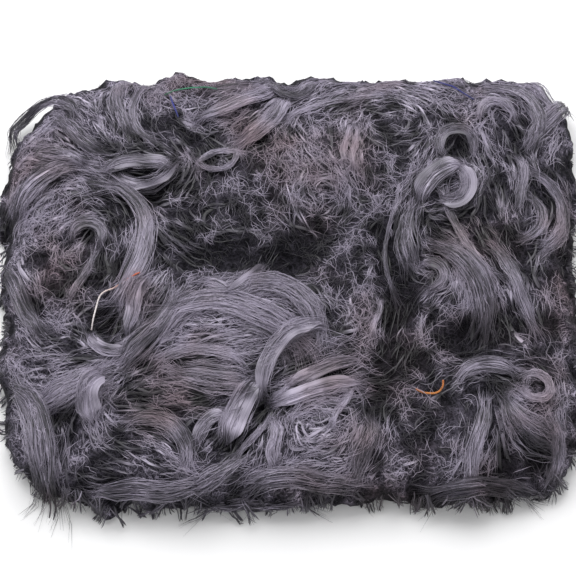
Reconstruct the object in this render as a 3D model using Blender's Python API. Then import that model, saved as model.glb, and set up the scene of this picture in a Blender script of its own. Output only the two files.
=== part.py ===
"""A loose heap of black-dyed mulberry silk fibre, lying on a flat surface.

The heap is a matted bed of tangled fibre with locks round its rim, and over it lie the larger combed
locks, each a flattened tapering strand that rests on whatever is under it, and a few ends of sewing
thread caught in the fibre. Metres, +Z up. The origin is on the underside, in the middle of the heap.
"""

import math

import bmesh
import bpy
import numpy as np
from mathutils import Vector
from mathutils.bvhtree import BVHTree

MM = 0.001

# Plan of the bed, between the roots of its rim locks
FRONT_Y = -0.136
BACK_Y = 0.149
LEFT_BACK_X = -0.189
LEFT_FRONT_X = -0.170
RIGHT_BACK_X = 0.190
RIGHT_FRONT_X = 0.175
CORNER_POWER = 7
BACK_LEFT_PULL = 0.14
OUTLINE_WAVE = 0.0030

# Heights
BED_HEIGHT = 0.037
RIM_SHARE = 0.52
SHOULDER_START = 0.80
LEAST_TOP = 0.012
LUMP = 0.0012

# Grid of the bed's top: cells across and cells deep
CELLS_X = 44
CELLS_Y = 34

# Side of the bed, from its upper edge down to the base: share of the edge's height, outward bulge
SIDE_RINGS = (
    (0.72, 0.0035),
    (0.42, 0.0040),
    (0.16, 0.0015),
    (0.0, -0.0035),
)

# Locks round the rim
TUFT_EVERY = 2
TUFT_LENGTH = (0.009, 0.019)
TUFT_SHRINK = (0.88, 0.70, 0.46, 0.17)
TUFT_DROOP = 0.24
TUFT_LEAN = 0.95
TUFT_RISE = (0.40, 0.12, -0.12)

# Loose locks
CLEARANCE = 0.0008
LOCK_SECTIONS = 12
THICK_SHARE = 0.34
THICK_RANGE = (0.0016, 0.0038)
EDGE_THICK = 0.3
SHOULDER_PLACE = 0.55
SHOULDER_THICK = 0.85
TIP_WIDTH = 0.26
TIP_REACH = 0.22
STEEPEST = 0.9
GROUND_STEP = 0.00125
GROUND_SPAN = (0.45, 0.36)
READINGS = 5
LAY_ROUNDS = 16

# Ends of sewing thread
THREAD_SECTIONS = 12

# Mounds of the bed, millimetres: middle x, y, radius x, y, height
MOUNDS = (
    (12, 75, 50, 35, 14),
    (-35, 118, 30, 20, 8),
    (120, 115, 50, 30, 10),
    (172, 115, 20, 35, 5),
    (105, 65, 28, 22, 8),
    (-145, 70, 35, 28, 10),
    (-165, 15, 25, 30, 4),
    (-95, 15, 18, 40, 8),
    (-30, -35, 48, 38, 14),
    (14, -98, 22, 20, 8),
    (-122, -78, 22, 16, 8),
    (-152, -110, 16, 30, 5),
    (112, 0, 30, 30, 8),
    (145, -92, 22, 16, 8),
    (108, -108, 14, 26, 6),
    (0, -136, 110, 12, 5),
    (-170, 115, 22, 18, -6),
)

# Dark gaps between the locks, millimetres: middle x, y, radius x, y, depth
GAPS = (
    (112, -42, 13, 11, 13),
    (74, -12, 8, 16, 11),
    (153, 105, 6, 13, 10),
    (147, 138, 7, 6, 8),
    (3, 131, 12, 8, 9),
    (-92, 50, 7, 9, 10),
    (-106, 3, 6, 8, 9),
    (-110, -33, 10, 10, 11),
    (-160, -20, 9, 9, 11),
    (-33, -110, 9, 7, 9),
    (-14, -89, 8, 7, 9),
    (-142, -94, 8, 6, 9),
    (-129, -136, 10, 9, 10),
    (138, -120, 17, 12, 10),
    (-135, 26, 7, 6, 9),
)

# Creases between mounds, millimetres: from x, y, to x, y, half width, depth
CREASES = (
    (-65, 10, 5, 8, 9, 10),
    (5, 8, 22, 24, 8, 6),
    (52, 55, 33, 38, 6, 6),
    (62, 30, 66, -30, 8, 8),
    (66, -30, 55, -90, 8, 8),
)

# Loose locks in the order in which they lie, millimetres. Each follows the arc from its start through a
# middle point to its end. fan is how much wider the end is than the start, as a share of the width, and
# wave is the sideways swing of an S bend.
# name, start, middle, end, width, fan, wave
LOCKS = (
    ("corner_loop", (-185, 108), (-176, 124), (-142, 119), 8, 0.0, 1),
    ("left_sweep", (-173, 47), (-154, 65), (-130, 71), 10, -0.4, 0),
    ("left_sweep_upper", (-160, 81), (-147, 77), (-133, 72), 8, -0.3, 0),
    ("upper_left_fan", (-150, 110), (-140, 97), (-124, 84), 8, 0.2, 1),
    ("top_strand", (-113, 133), (-112, 117), (-106, 101), 6, 0.0, -1),
    ("upper_band", (-56, 108), (-30, 117), (-10, 133), 8, 0.3, 1),
    ("upper_bow", (-2, 124), (-9, 107), (-28, 90), 9, 0.2, 0),
    ("top_curl", (-9, 134), (2, 126), (15, 134), 6, 0.0, 0),
    ("eye_upper", (-76, 73), (-96, 77), (-116, 70), 8, 0.0, 0),
    ("eye_lower", (-109, 64), (-96, 59), (-73, 75), 7, 0.0, 0),
    ("long_lock_left", (-110, 57), (-91, 31), (-103, -14), 11, 0.6, 2),
    ("claw_curl", (-138, 26), (-128, 34), (-119, 19), 6, 0.0, 0),
    ("left_rim_lock", (-179, 3), (-169, -16), (-157, -36), 8, 0.1, 1),
    ("far_right_band", (186, 126), (173, 109), (160, 92), 10, 0.2, 1),
    ("top_right_fold", (148, 110), (135, 118), (125, 108), 6, 0.0, 0),
    ("hole_rim_lock", (140, 133), (158, 122), (164, 97), 7, 0.0, 0),
    ("ring_curl_far", (84, 51), (92, 63), (109, 71), 10, 0.0, 0),
    ("ring_curl_near", (111, 69), (116, 58), (98, 48), 7, 0.0, 0),
    ("arch_curl", (100, 80), (112, 97), (120, 83), 7, 0.0, 0),
    ("right_sickle", (159, 69), (178, 42), (166, 19), 7, 0.3, 0),
    ("right_vertical", (150, 78), (152, 63), (149, 48), 6, 0.0, 1),
    ("fan_lock", (79, 42), (75, 26), (77, 8), 11, 0.9, 0),
    ("light_hook", (85, 5), (97, -1), (90, -14), 7, 0.0, 0),
    ("mid_right_sweep", (99, 15), (117, -5), (122, -34), 11, 0.2, 0),
    ("right_mid_lock", (132, 13), (143, -9), (152, -34), 7, 0.0, 1),
    ("left_mid_ribbon", (-88, -7), (-95, -21), (-100, -39), 8, 0.1, -1),
    ("ring_bottom", (-122, -43), (-111, -53), (-99, -51), 7, 0.0, 0),
    ("left_mid_fan", (-71, -21), (-83, -41), (-99, -59), 10, 0.5, 1),
    ("feather_lock", (-114, -66), (-130, -78), (-146, -85), 12, 0.6, 0),
    ("puff_lock", (-112, -72), (-120, -84), (-118, -97), 15, 0.0, 0),
    ("left_column", (-165, -78), (-151, -100), (-147, -131), 12, 0.2, 1),
    ("front_bow", (-93, -97), (-74, -98), (-60, -121), 8, 0.1, 0),
    ("combed_sweep", (-71, -29), (-34, -25), (1, -41), 9, 0.2, 2),
    ("combed_sweep_low", (-64, -69), (-45, -73), (-24, -75), 11, -0.2, 0),
    ("short_ribbon", (-15, 5), (-24, -9), (-38, -18), 8, 0.0, 0),
    ("crown_lock", (-22, -12), (3, -15), (18, -38), 9, 0.0, 0),
    ("ribbon_middle", (20, -37), (-5, -50), (-16, -82), 10, -0.1, 0),
    ("ribbon_wide", (-20, -76), (-29, -91), (-36, -109), 14, 0.1, 0),
    ("ribbon_low", (-39, -93), (-50, -99), (-55, -110), 8, 0.0, 0),
    ("wing_far", (1, -76), (22, -65), (41, -58), 8, 0.0, 0),
    ("wing_near", (-8, -86), (17, -79), (43, -73), 9, 0.0, -1),
    ("low_vertical", (-8, -100), (-8, -112), (-9, -124), 7, 0.1, 1),
    ("low_left_spread", (-30, -121), (-42, -130), (-55, -136), 7, 0.4, 0),
    ("right_low_lock", (51, -99), (48, -113), (42, -127), 9, 0.2, 1),
    ("lower_lump", (106, -67), (121, -61), (137, -65), 8, 0.0, 0),
    ("hook_curl", (146, -68), (160, -77), (144, -82), 5, -0.2, 0),
    ("cone_lock", (132, -88), (140, -103), (158, -110), 12, 0.9, 0),
    ("right_low_ribbon", (119, -88), (114, -108), (110, -128), 9, 0.2, 1),
    ("edge_right", (161, -100), (164, -114), (161, -129), 7, 0.1, 0),
    ("front_band_left", (-114, -137), (-84, -138), (-56, -136), 8, 0.0, 1),
    ("front_band_middle", (-18, -134), (8, -132), (38, -134), 8, 0.0, 1),
    ("front_band_right", (92, -138), (118, -134), (146, -136), 8, 0.0, -1),
)

# Ends of sewing thread, millimetres. Each follows the arc as a lock does.
# name, start, middle, end, thickness, wave
THREADS = (
    ("thread_orange", (78, -77), (89, -80), (95, -71), 1.3, -1.2),
    ("thread_white", (-92, -5), (-116, -17), (-122, -39), 1.2, 1.0),
    ("thread_green", (-82, 127), (-66, 134), (-47, 130), 1.1, 1.6),
    ("thread_blue_left", (-78, 126), (-75, 117), (-72, 109), 1.1, 0.6),
    ("thread_blue_right", (96, 136), (109, 131), (122, 119), 1.1, -2.0),
)

# Colour and roughness of each finish
SILK_MASS = ((0.018, 0.016, 0.020), 0.62)
SILK_LOCK = ((0.075, 0.070, 0.085), 0.42)
THREAD_COLOURS = {
    "thread_orange": ((0.52, 0.17, 0.05), 0.6),
    "thread_white": ((0.62, 0.55, 0.53), 0.6),
    "thread_green": ((0.03, 0.22, 0.11), 0.6),
    "thread_blue_left": ((0.03, 0.05, 0.30), 0.6),
    "thread_blue_right": ((0.05, 0.05, 0.28), 0.6),
}

random = np.random.default_rng(11)
WAVES = 16
WAVE_LENGTH = (0.016, 0.046)
wave_angle = random.uniform(0, math.tau, WAVES)
wave_phase = random.uniform(0, math.tau, WAVES)
wave_size = random.uniform(*WAVE_LENGTH, WAVES)


def noise(x, y):
    """Soft even lumps with a mean of nought and a size of about one: the sum of crossing sine waves."""
    along = x[..., None] * np.cos(wave_angle) + y[..., None] * np.sin(wave_angle)
    return np.sin(along * math.tau / wave_size + wave_phase).sum(axis=-1) / math.sqrt(WAVES / 2)


def relief(x, y):
    """Height of the bed's top before its rim falls away: a level bed with the mounds, less what the gaps
    and the creases take out."""
    height = np.full_like(x, BED_HEIGHT)
    for mid_x, mid_y, radius_x, radius_y, rise in MOUNDS:
        far = ((x - mid_x * MM) / (radius_x * MM)) ** 2 + ((y - mid_y * MM) / (radius_y * MM)) ** 2
        height += rise * MM * np.exp(-far)
    for mid_x, mid_y, radius_x, radius_y, depth in GAPS:
        far = ((x - mid_x * MM) / (radius_x * MM)) ** 2 + ((y - mid_y * MM) / (radius_y * MM)) ** 2
        height -= depth * MM * np.exp(-far * far)
    for from_x, from_y, to_x, to_y, half, depth in CREASES:
        run_x, run_y = (to_x - from_x) * MM, (to_y - from_y) * MM
        off_x, off_y = x - from_x * MM, y - from_y * MM
        share = np.clip((off_x * run_x + off_y * run_y) / (run_x**2 + run_y**2), 0, 1)
        away = np.hypot(off_x - share * run_x, off_y - share * run_y) / (half * MM)
        height -= depth * MM * np.exp(-away * away)
    return height + LUMP * noise(x, y)


def plan(s, t):
    """Plan place of a point of the square from -1 to 1: the square is drawn in at its corners to a
    rounded outline, whose sides splay towards the back and wander a little."""
    reach = np.maximum(np.abs(s), np.abs(t))
    corner = (np.abs(s) ** CORNER_POWER + np.abs(t) ** CORNER_POWER) ** (1 / CORNER_POWER)
    pull = np.where(reach > 0, reach / np.maximum(corner, 1e-9), 1)
    s, t = s * pull, t * pull
    drawn = 1 - BACK_LEFT_PULL * np.clip(-s, 0, 1) ** 4 * np.clip(t, 0, 1) ** 4
    s, t = s * drawn, t * drawn
    y = FRONT_Y + (BACK_Y - FRONT_Y) * (t + 1) / 2
    back = (t + 1) / 2
    left = LEFT_FRONT_X + (LEFT_BACK_X - LEFT_FRONT_X) * back
    right = RIGHT_FRONT_X + (RIGHT_BACK_X - RIGHT_FRONT_X) * back
    x = left + (right - left) * (s + 1) / 2
    wander = OUTLINE_WAVE * reach**4 * noise(x * 0.8 + 1, y * 0.8)
    turn = np.arctan2(y, x)
    return x + wander * np.cos(turn), y + wander * np.sin(turn)


def bed_top():
    """The top of the bed as a grid of points, lowered to a rounded shoulder at its edge."""
    s, t = np.meshgrid(np.linspace(-1, 1, CELLS_X + 1), np.linspace(-1, 1, CELLS_Y + 1), indexing="ij")
    x, y = plan(s, t)
    reach = np.maximum(np.abs(s), np.abs(t))
    over = np.clip((reach - SHOULDER_START) / (1 - SHOULDER_START), 0, 1)
    share = RIM_SHARE + (1 - RIM_SHARE) * np.sqrt(1 - over * over)
    z = np.maximum(relief(x, y) * share, LEAST_TOP)
    return np.stack([x, y, z], axis=-1)


def outward(loop):
    """Unit plan normals of a closed loop of points that runs anticlockwise."""
    along = np.roll(loop, -1, axis=0) - np.roll(loop, 1, axis=0)
    normal = np.stack([along[:, 1], -along[:, 0]], axis=1)
    return normal / np.linalg.norm(normal, axis=1, keepdims=True)


def rim_tuft(corners, away, length, lean, rise):
    """Rings of one rim lock: its root is the four corners of a side face, and it runs out along away,
    leaning sideways, first up and then down, and narrows to its tip."""
    middle = corners.mean(axis=0)
    side = np.array([-away[1], away[0], 0.0])
    heading = np.array([away[0], away[1], rise])
    spread = corners - middle
    rings = []
    step = length / len(TUFT_SHRINK)
    for number, shrink in enumerate(TUFT_SHRINK):
        bent = heading + side * lean * (number + 1) / len(TUFT_SHRINK)
        bent[2] -= TUFT_DROOP * number
        middle = middle + bent / np.linalg.norm(bent) * step
        ring = middle + spread * shrink
        ring[:, 2] -= min(ring[:, 2].min(), 0)
        rings.append(ring)
        middle = ring.mean(axis=0)
    return rings


def in_triangles(faces):
    """The faces with each one of four corners cut in two along its first diagonal."""
    cut = []
    for face in faces:
        if len(face) == 4:
            a, b, c, d = face
            cut += [(a, b, c), (a, c, d)]
        else:
            cut.append(face)
    return cut


def build_bed():
    """Points and faces of the matted bed: top, sides, flat base and the locks round its rim."""
    top = bed_top()
    across, deep = CELLS_X + 1, CELLS_Y + 1
    points = [tuple(p) for p in top.reshape(-1, 3)]
    faces = []
    for i in range(CELLS_X):
        for j in range(CELLS_Y):
            a = i * deep + j
            faces.append((a, a + deep, a + deep + 1, a + 1))
    edge = [i * deep for i in range(across)]
    edge += [(across - 1) * deep + j for j in range(1, deep)]
    edge += [i * deep + deep - 1 for i in range(across - 2, -1, -1)]
    edge += [j for j in range(deep - 2, 0, -1)]
    count = len(edge)
    loop = top.reshape(-1, 3)[edge]
    away = outward(loop[:, :2])
    rings = [edge]
    for share, bulge in SIDE_RINGS:
        lumps = bulge + (LUMP * noise(loop[:, 0] * 2, loop[:, 1] * 2 + share) if share else 0)
        ring = loop.copy()
        ring[:, 0] += away[:, 0] * lumps
        ring[:, 1] += away[:, 1] * lumps
        ring[:, 2] = loop[:, 2] * share
        rings.append(list(range(len(points), len(points) + count)))
        points += [tuple(p) for p in ring]
    turn = np.linspace(0, math.tau, count, endpoint=False)
    lean = TUFT_LEAN * np.sin(5 * turn + 1.2) + 0.3 * np.sin(11 * turn)
    for level in range(len(SIDE_RINGS)):
        upper, lower = rings[level], rings[level + 1]
        for n in range(count):
            m = (n + 1) % count
            face = (lower[n], lower[m], upper[m], upper[n])
            wanted = level == (n // TUFT_EVERY) % len(TUFT_RISE) and n % TUFT_EVERY == 0
            if not wanted:
                faces.append(face)
                continue
            corners = np.array([points[v] for v in face])
            out = away[n] + away[m]
            out /= np.linalg.norm(out)
            length = random.uniform(*TUFT_LENGTH)
            before = face
            for ring in rim_tuft(corners, out, length, lean[n], TUFT_RISE[level]):
                new = tuple(range(len(points), len(points) + 4))
                points += [tuple(p) for p in ring]
                for k in range(4):
                    following = (k + 1) % 4
                    faces.append((before[k], before[following], new[following], new[k]))
                before = new
            faces.append(before)
    faces.append(tuple(reversed(rings[-1])))
    return points, in_triangles(faces)


def arc(start, middle, end, count, wave):
    """Plan points, evenly along the circle through three points from the first to the last, swung
    sideways by one S of the given size."""
    a, b, c = (complex(*p) * MM for p in (start, middle, end))
    ratio = (c - a) / (b - a)
    share = np.linspace(0, 1, count)
    if abs(ratio.imag) < 0.02:
        path = a + (c - a) * share
        normal = np.full(count, 1j * (c - a) / abs(c - a))
    else:
        centre = a + (b - a) * (ratio - abs(ratio) ** 2) / (2j * ratio.imag)
        start_angle = math.atan2((a - centre).imag, (a - centre).real)
        end_angle = math.atan2((c - centre).imag, (c - centre).real)
        if ratio.imag > 0:
            sweep = (end_angle - start_angle) % math.tau
        else:
            sweep = -((start_angle - end_angle) % math.tau)
        spoke = np.exp(1j * (start_angle + sweep * share))
        path = centre + abs(a - centre) * spoke
        normal = spoke * -math.copysign(1, sweep)
    path = path + normal * wave * MM * np.sin(math.tau * share)
    return np.stack([path.real, path.imag], axis=1)


def sideways(path):
    """Unit plan vectors to the left of a path."""
    along = np.gradient(path, axis=0)
    along /= np.linalg.norm(along, axis=1, keepdims=True)
    return np.stack([-along[:, 1], along[:, 0]], axis=1)


# The four corners of every cell of a grid, as slices of it
CORNERS = (
    (slice(0, -1), slice(0, -1)),
    (slice(1, None), slice(0, -1)),
    (slice(0, -1), slice(1, None)),
    (slice(1, None), slice(1, None)),
)


class Ground:
    """The highest surface laid so far, as heights on a plan grid. A reading takes the highest corner of
    its grid cell, so nothing laid on it cuts what is there."""

    def __init__(self):
        self.x0, self.y0 = -GROUND_SPAN[0] / 2, -GROUND_SPAN[1] / 2
        self.high = np.zeros([round(span / GROUND_STEP) + 1 for span in GROUND_SPAN])

    def cover(self, points, faces):
        """Raise the heights to the top of a new piece."""
        tree = BVHTree.FromPolygons([tuple(p) for p in points], faces)
        cloud = np.asarray(points)
        low_i = max(int((cloud[:, 0].min() - self.x0) / GROUND_STEP) - 1, 0)
        low_j = max(int((cloud[:, 1].min() - self.y0) / GROUND_STEP) - 1, 0)
        high_i = min(int((cloud[:, 0].max() - self.x0) / GROUND_STEP) + 2, self.high.shape[0] - 1)
        high_j = min(int((cloud[:, 1].max() - self.y0) / GROUND_STEP) + 2, self.high.shape[1] - 1)
        down = Vector((0, 0, -1))
        for i in range(low_i, high_i + 1):
            for j in range(low_j, high_j + 1):
                above = Vector((self.x0 + i * GROUND_STEP, self.y0 + j * GROUND_STEP, 1))
                hit = tree.ray_cast(above, down)[0]
                if hit is not None:
                    self.high[i, j] = max(self.high[i, j], hit.z)

    def at(self, x, y):
        """Highest corner of the grid cell that each place lies in."""
        i = np.clip(((x - self.x0) / GROUND_STEP).astype(int), 0, self.high.shape[0] - 2)
        j = np.clip(((y - self.y0) / GROUND_STEP).astype(int), 0, self.high.shape[1] - 2)
        corners = [self.high[i, j], self.high[i + 1, j], self.high[i, j + 1], self.high[i + 1, j + 1]]
        return np.max(corners, axis=0)

    def lay(self, edges, length):
        """Heights for a strip given as a grid of plan points, sections by columns. Each point first
        lies on the ground, then the strip is lifted where it would be too steep, along or across, or
        where a point between its own would cut what is under it."""
        sections, columns = edges.shape[:2]
        z = self.at(edges[..., 0], edges[..., 1])
        most = STEEPEST * length / (sections - 1)
        most_across = STEEPEST * np.linalg.norm(edges[:, 1] - edges[:, 0], axis=-1)
        for _ in range(LAY_ROUNDS):
            for n in range(1, sections):
                z[n] = np.maximum(z[n], z[n - 1] - most)
            for n in range(sections - 2, -1, -1):
                z[n] = np.maximum(z[n], z[n + 1] - most)
            for n in range(1, columns):
                z[:, n] = np.maximum(z[:, n], z[:, n - 1] - most_across)
            for n in range(columns - 2, -1, -1):
                z[:, n] = np.maximum(z[:, n], z[:, n + 1] - most_across)
            hump = z.copy()
            hump[1:-1] = (z[:-2] + 2 * z[1:-1] + z[2:]) / 4
            z = np.maximum(z, hump)
            lift = np.zeros_like(z)
            for a in range(READINGS + 1):
                for b in range(READINGS + 1):
                    u, v = a / READINGS, b / READINGS
                    weights = ((1 - u) * (1 - v), u * (1 - v), (1 - u) * v, u * v)
                    spot = sum(w * edges[block] for w, block in zip(weights, CORNERS))
                    first, second, third, fourth = (z[block] for block in CORNERS)
                    if u > v:
                        split_one = first + u * (second - first) + v * (fourth - second)
                    else:
                        split_one = first + v * (third - first) + u * (fourth - third)
                    if u + v < 1:
                        split_two = first + u * (second - first) + v * (third - first)
                    else:
                        split_two = fourth + (1 - u) * (third - fourth) + (1 - v) * (second - fourth)
                    have = np.minimum(split_one, split_two)
                    short = np.maximum(self.at(spot[..., 0], spot[..., 1]) - have, 0)
                    for weight, block in zip(weights, CORNERS):
                        if weight > 0:
                            lift[block] = np.maximum(lift[block], short)
            z = z + lift
            if lift.max() < 1e-6:
                break
        return z + CLEARANCE


def strip_faces(sections, sides):
    """Faces of a closed tube of sections, whose points run clockwise as seen along the tube."""
    faces = []
    for n in range(sections - 1):
        for k in range(sides):
            m = (k + 1) % sides
            a, b = n * sides, (n + 1) * sides
            faces.append((a + k, b + k, b + m, a + m))
    faces.append(tuple(range(sides)))
    faces.append(tuple(range(sections * sides - 1, (sections - 1) * sides - 1, -1)))
    return in_triangles(faces)


def build_lock(ground, start, middle, end, width, fan, wave):
    """Points and faces of one flattened lock, laid on the ground. Its section has six sides: two thin
    edges, a middle that follows the ground, and a crowned top."""
    path = arc(start, middle, end, LOCK_SECTIONS, wave)
    length = np.linalg.norm(np.diff(path, axis=0), axis=1).sum()
    share = np.linspace(0, 1, LOCK_SECTIONS)
    near_tip = np.clip(np.minimum(share, 1 - share) / TIP_REACH, 0, 1)
    taper = TIP_WIDTH + (1 - TIP_WIDTH) * np.sin(near_tip * math.pi / 2)
    half = width * MM / 2 * (1 + fan * (share - 0.5)) * taper
    thick = np.clip(width * MM * THICK_SHARE, *THICK_RANGE) * (0.45 + 0.55 * taper)
    left = sideways(path)
    columns = np.array([1.0, 0.0, -1.0])
    edges = path[:, None, :] + left[:, None, :] * (half[:, None] * columns)[..., None]
    base = ground.lay(edges, length)
    inner = half * SHOULDER_PLACE
    shoulder = base[:, [0, 2]] * SHOULDER_PLACE + base[:, [1]] * (1 - SHOULDER_PLACE)
    section = np.empty((LOCK_SECTIONS, 6, 3))
    section[:, 0, :2] = edges[:, 0]
    section[:, 0, 2] = base[:, 0] + thick * EDGE_THICK
    section[:, 1, :2] = path + left * inner[:, None]
    section[:, 1, 2] = shoulder[:, 0] + thick * SHOULDER_THICK
    section[:, 2, :2] = path
    section[:, 2, 2] = base[:, 1] + thick
    section[:, 3, :2] = path - left * inner[:, None]
    section[:, 3, 2] = shoulder[:, 1] + thick * SHOULDER_THICK
    section[:, 4, :2] = edges[:, 2]
    section[:, 4, 2] = base[:, 2] + thick * EDGE_THICK
    section[:, 5, :2] = path
    section[:, 5, 2] = base[:, 1]
    return section.reshape(-1, 3), strip_faces(LOCK_SECTIONS, 6)


def build_thread(ground, start, middle, end, thickness, wave):
    """Points and faces of one end of thread, a round strand of four sides laid on the ground."""
    path = arc(start, middle, end, THREAD_SECTIONS, wave)
    length = np.linalg.norm(np.diff(path, axis=0), axis=1).sum()
    half = thickness * MM / 2
    left = sideways(path)
    edges = path[:, None, :] + left[:, None, :] * (half * np.array([1.0, -1.0]))[None, :, None]
    base = ground.lay(edges, length).max(axis=1)
    section = np.empty((THREAD_SECTIONS, 4, 3))
    for k, (across, up) in enumerate(((1, 0.5), (0, 1), (-1, 0.5), (0, 0))):
        section[:, k, :2] = path + left * half * across
        section[:, k, 2] = base + up * thickness * MM
    return section.reshape(-1, 3), strip_faces(THREAD_SECTIONS, 4)


def finish(name, colour, roughness):
    """A plain material of one colour."""
    material = bpy.data.materials.new(name)
    material.use_nodes = True
    shader = material.node_tree.nodes["Principled BSDF"]
    shader.inputs["Base Color"].default_value = (*colour, 1)
    shader.inputs["Roughness"].default_value = roughness
    shader.inputs["Metallic"].default_value = 0
    return material


def add_piece(name, points, faces, material):
    """One named object from points and faces, shaded smooth, its faces pointing out."""
    mesh = bpy.data.meshes.new(name)
    mesh.from_pydata([tuple(p) for p in points], [], faces)
    shape = bmesh.new()
    shape.from_mesh(mesh)
    bmesh.ops.recalc_face_normals(shape, faces=shape.faces)
    shape.to_mesh(mesh)
    shape.free()
    mesh.shade_smooth()
    mesh.materials.append(material)
    piece = bpy.data.objects.new(name, mesh)
    bpy.context.collection.objects.link(piece)
    return piece


def main():
    for old in list(bpy.data.objects):
        bpy.data.objects.remove(old)
    ground = Ground()
    points, faces = build_bed()
    add_piece("tangle", points, faces, finish("silk_mass", *SILK_MASS))
    ground.cover(points, faces)
    for name, start, middle, end, width, fan, wave in LOCKS:
        points, faces = build_lock(ground, start, middle, end, width, fan, wave)
        add_piece("lock_" + name, points, faces, finish("silk_" + name, *SILK_LOCK))
        ground.cover(points, faces)
    for name, start, middle, end, thickness, wave in THREADS:
        points, faces = build_thread(ground, start, middle, end, thickness, wave)
        add_piece(name, points, faces, finish(name, *THREAD_COLOURS[name]))
        ground.cover(points, faces)


main()
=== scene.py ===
# %% [markdown]
# A heap of loose mulberry silk, dyed black. Silk is the finest of the common fibres, so a heap of it has no
# surface of its own: what the eye takes for one is thousands of bright filaments over dark gaps. The heap is
# made in the order in which it would fall: a matted core, fine wisps, small locks, the larger combed locks,
# flyaway fibre on top, and a few ends of sewing thread.

# %% The frame
import math

import bpy
import numpy as np
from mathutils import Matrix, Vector
from mathutils.bvhtree import BVHTree


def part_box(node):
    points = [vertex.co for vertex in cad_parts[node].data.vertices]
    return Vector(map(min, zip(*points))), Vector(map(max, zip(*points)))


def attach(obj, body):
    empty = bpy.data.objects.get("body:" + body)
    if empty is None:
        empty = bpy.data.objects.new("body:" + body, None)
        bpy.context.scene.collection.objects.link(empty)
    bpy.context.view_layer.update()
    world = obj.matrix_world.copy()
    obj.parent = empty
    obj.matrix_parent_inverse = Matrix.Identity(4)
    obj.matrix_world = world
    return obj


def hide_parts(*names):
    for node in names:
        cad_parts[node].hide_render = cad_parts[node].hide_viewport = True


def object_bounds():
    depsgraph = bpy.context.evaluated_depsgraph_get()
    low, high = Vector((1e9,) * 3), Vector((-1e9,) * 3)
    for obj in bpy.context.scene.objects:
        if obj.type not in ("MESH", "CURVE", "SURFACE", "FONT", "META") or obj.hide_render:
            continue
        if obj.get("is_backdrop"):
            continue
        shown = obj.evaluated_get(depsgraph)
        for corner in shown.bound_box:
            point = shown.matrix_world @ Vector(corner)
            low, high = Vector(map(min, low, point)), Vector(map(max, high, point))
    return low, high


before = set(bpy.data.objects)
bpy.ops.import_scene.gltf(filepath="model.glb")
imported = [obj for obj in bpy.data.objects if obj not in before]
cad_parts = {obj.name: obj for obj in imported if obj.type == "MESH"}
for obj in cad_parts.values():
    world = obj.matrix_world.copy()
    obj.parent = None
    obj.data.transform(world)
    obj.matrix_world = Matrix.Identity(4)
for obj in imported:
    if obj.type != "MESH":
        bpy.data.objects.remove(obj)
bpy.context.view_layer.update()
MM = 0.001
random = np.random.default_rng(23)


def put(name, data):
    """A new object in the scene."""
    thing = bpy.data.objects.new(name, data)
    bpy.context.scene.collection.objects.link(thing)
    return thing


# %% [markdown]
# The camera looks down steeply from the near side, from far enough away that the heap hardly tapers.
# Soft daylight comes from above and behind, as from a window over a table, and the world gives the rest.

# %% Camera
CAMERA_TURN = math.radians(68)
CAMERA_AWAY = 0.9
CAMERA_AIM = Vector((0, -0.012, 0.042))
CAMERA_LENS = 90

lens = bpy.data.cameras.new("camera")
lens.lens = CAMERA_LENS
lens.sensor_width = 36
camera = put("camera", lens)
camera.location = CAMERA_AIM + CAMERA_AWAY * Vector((0, -math.cos(CAMERA_TURN), math.sin(CAMERA_TURN)))
camera.rotation_euler = (math.pi / 2 - CAMERA_TURN, 0, 0)
bpy.context.scene.camera = camera

# %% Daylight
LIGHT_SIZE = (1.3, 0.8)
LIGHT_WATTS = 17
LIGHT_FROM = Vector((-0.15, 0.62, 1.15))
WORLD_STRENGTH = 0.62

lamp = bpy.data.lights.new("window", "AREA")
lamp.shape = "RECTANGLE"
lamp.size, lamp.size_y = LIGHT_SIZE
lamp.energy = LIGHT_WATTS
window = put("window", lamp)
window.location = LIGHT_FROM
window.rotation_euler = (CAMERA_AIM - LIGHT_FROM).to_track_quat("-Z", "Y").to_euler()
world = bpy.data.worlds.new("room")
world.use_nodes = True
world.node_tree.nodes["Background"].inputs["Strength"].default_value = WORLD_STRENGTH
world.node_tree.nodes["Background"].inputs["Color"].default_value = (1, 1, 1, 1)
bpy.context.scene.world = world
bpy.context.scene.view_settings.view_transform = "Standard"

# %% [markdown]
# Everything lies on the frame's solids, so their heights are read once, by rays cast straight down, onto a
# plan grid. From that grid come a smooth level and the hollows, the places that lie below their surroundings:
# fibre bridges a hollow or shuns it, and it stays dark.

# %% Heights of the frame
STEP = 2 * MM
X_LINE = np.arange(-0.22, 0.22 + STEP / 2, STEP)
Y_LINE = np.arange(-0.18, 0.18 + STEP / 2, STEP)


def tree_of(name):
    """The frame node's triangles as a tree for ray casts."""
    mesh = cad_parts[name].data
    return BVHTree.FromPolygons([v.co for v in mesh.vertices], [tuple(p.vertices) for p in mesh.polygons])


def tops(tree, places):
    """Height of the topmost face under each plan place, and not-a-number where there is none."""
    down = Vector((0, 0, -1))
    hits = (tree.ray_cast(Vector((x, y, 1)), down)[0] for x, y in places)
    return np.array([math.nan if hit is None else hit.z for hit in hits])


grid_x, grid_y = np.meshgrid(X_LINE, Y_LINE, indexing="ij")
bed_tree = tree_of("tangle")
bed = tops(bed_tree, zip(grid_x.ravel(), grid_y.ravel())).reshape(grid_x.shape)
bed = np.nan_to_num(bed, nan=0.0)
print("bed grid", bed.shape, "highest, mm", round(bed.max() / MM, 1))


# %% Smooth level and hollows
def blur(field, radius):
    """The field's mean over a square of twice the radius, taken twice, so that it falls off gently."""
    half = max(1, round(radius / STEP))
    for axis in (0, 1, 0, 1):
        pad = [(half, half) if a == axis else (0, 0) for a in (0, 1)]
        wide = np.pad(field, pad, mode="edge")
        shifts = [np.take(wide, np.arange(field.shape[axis]) + k, axis=axis) for k in range(2 * half + 1)]
        field = np.mean(shifts, axis=0)
    return field


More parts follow.
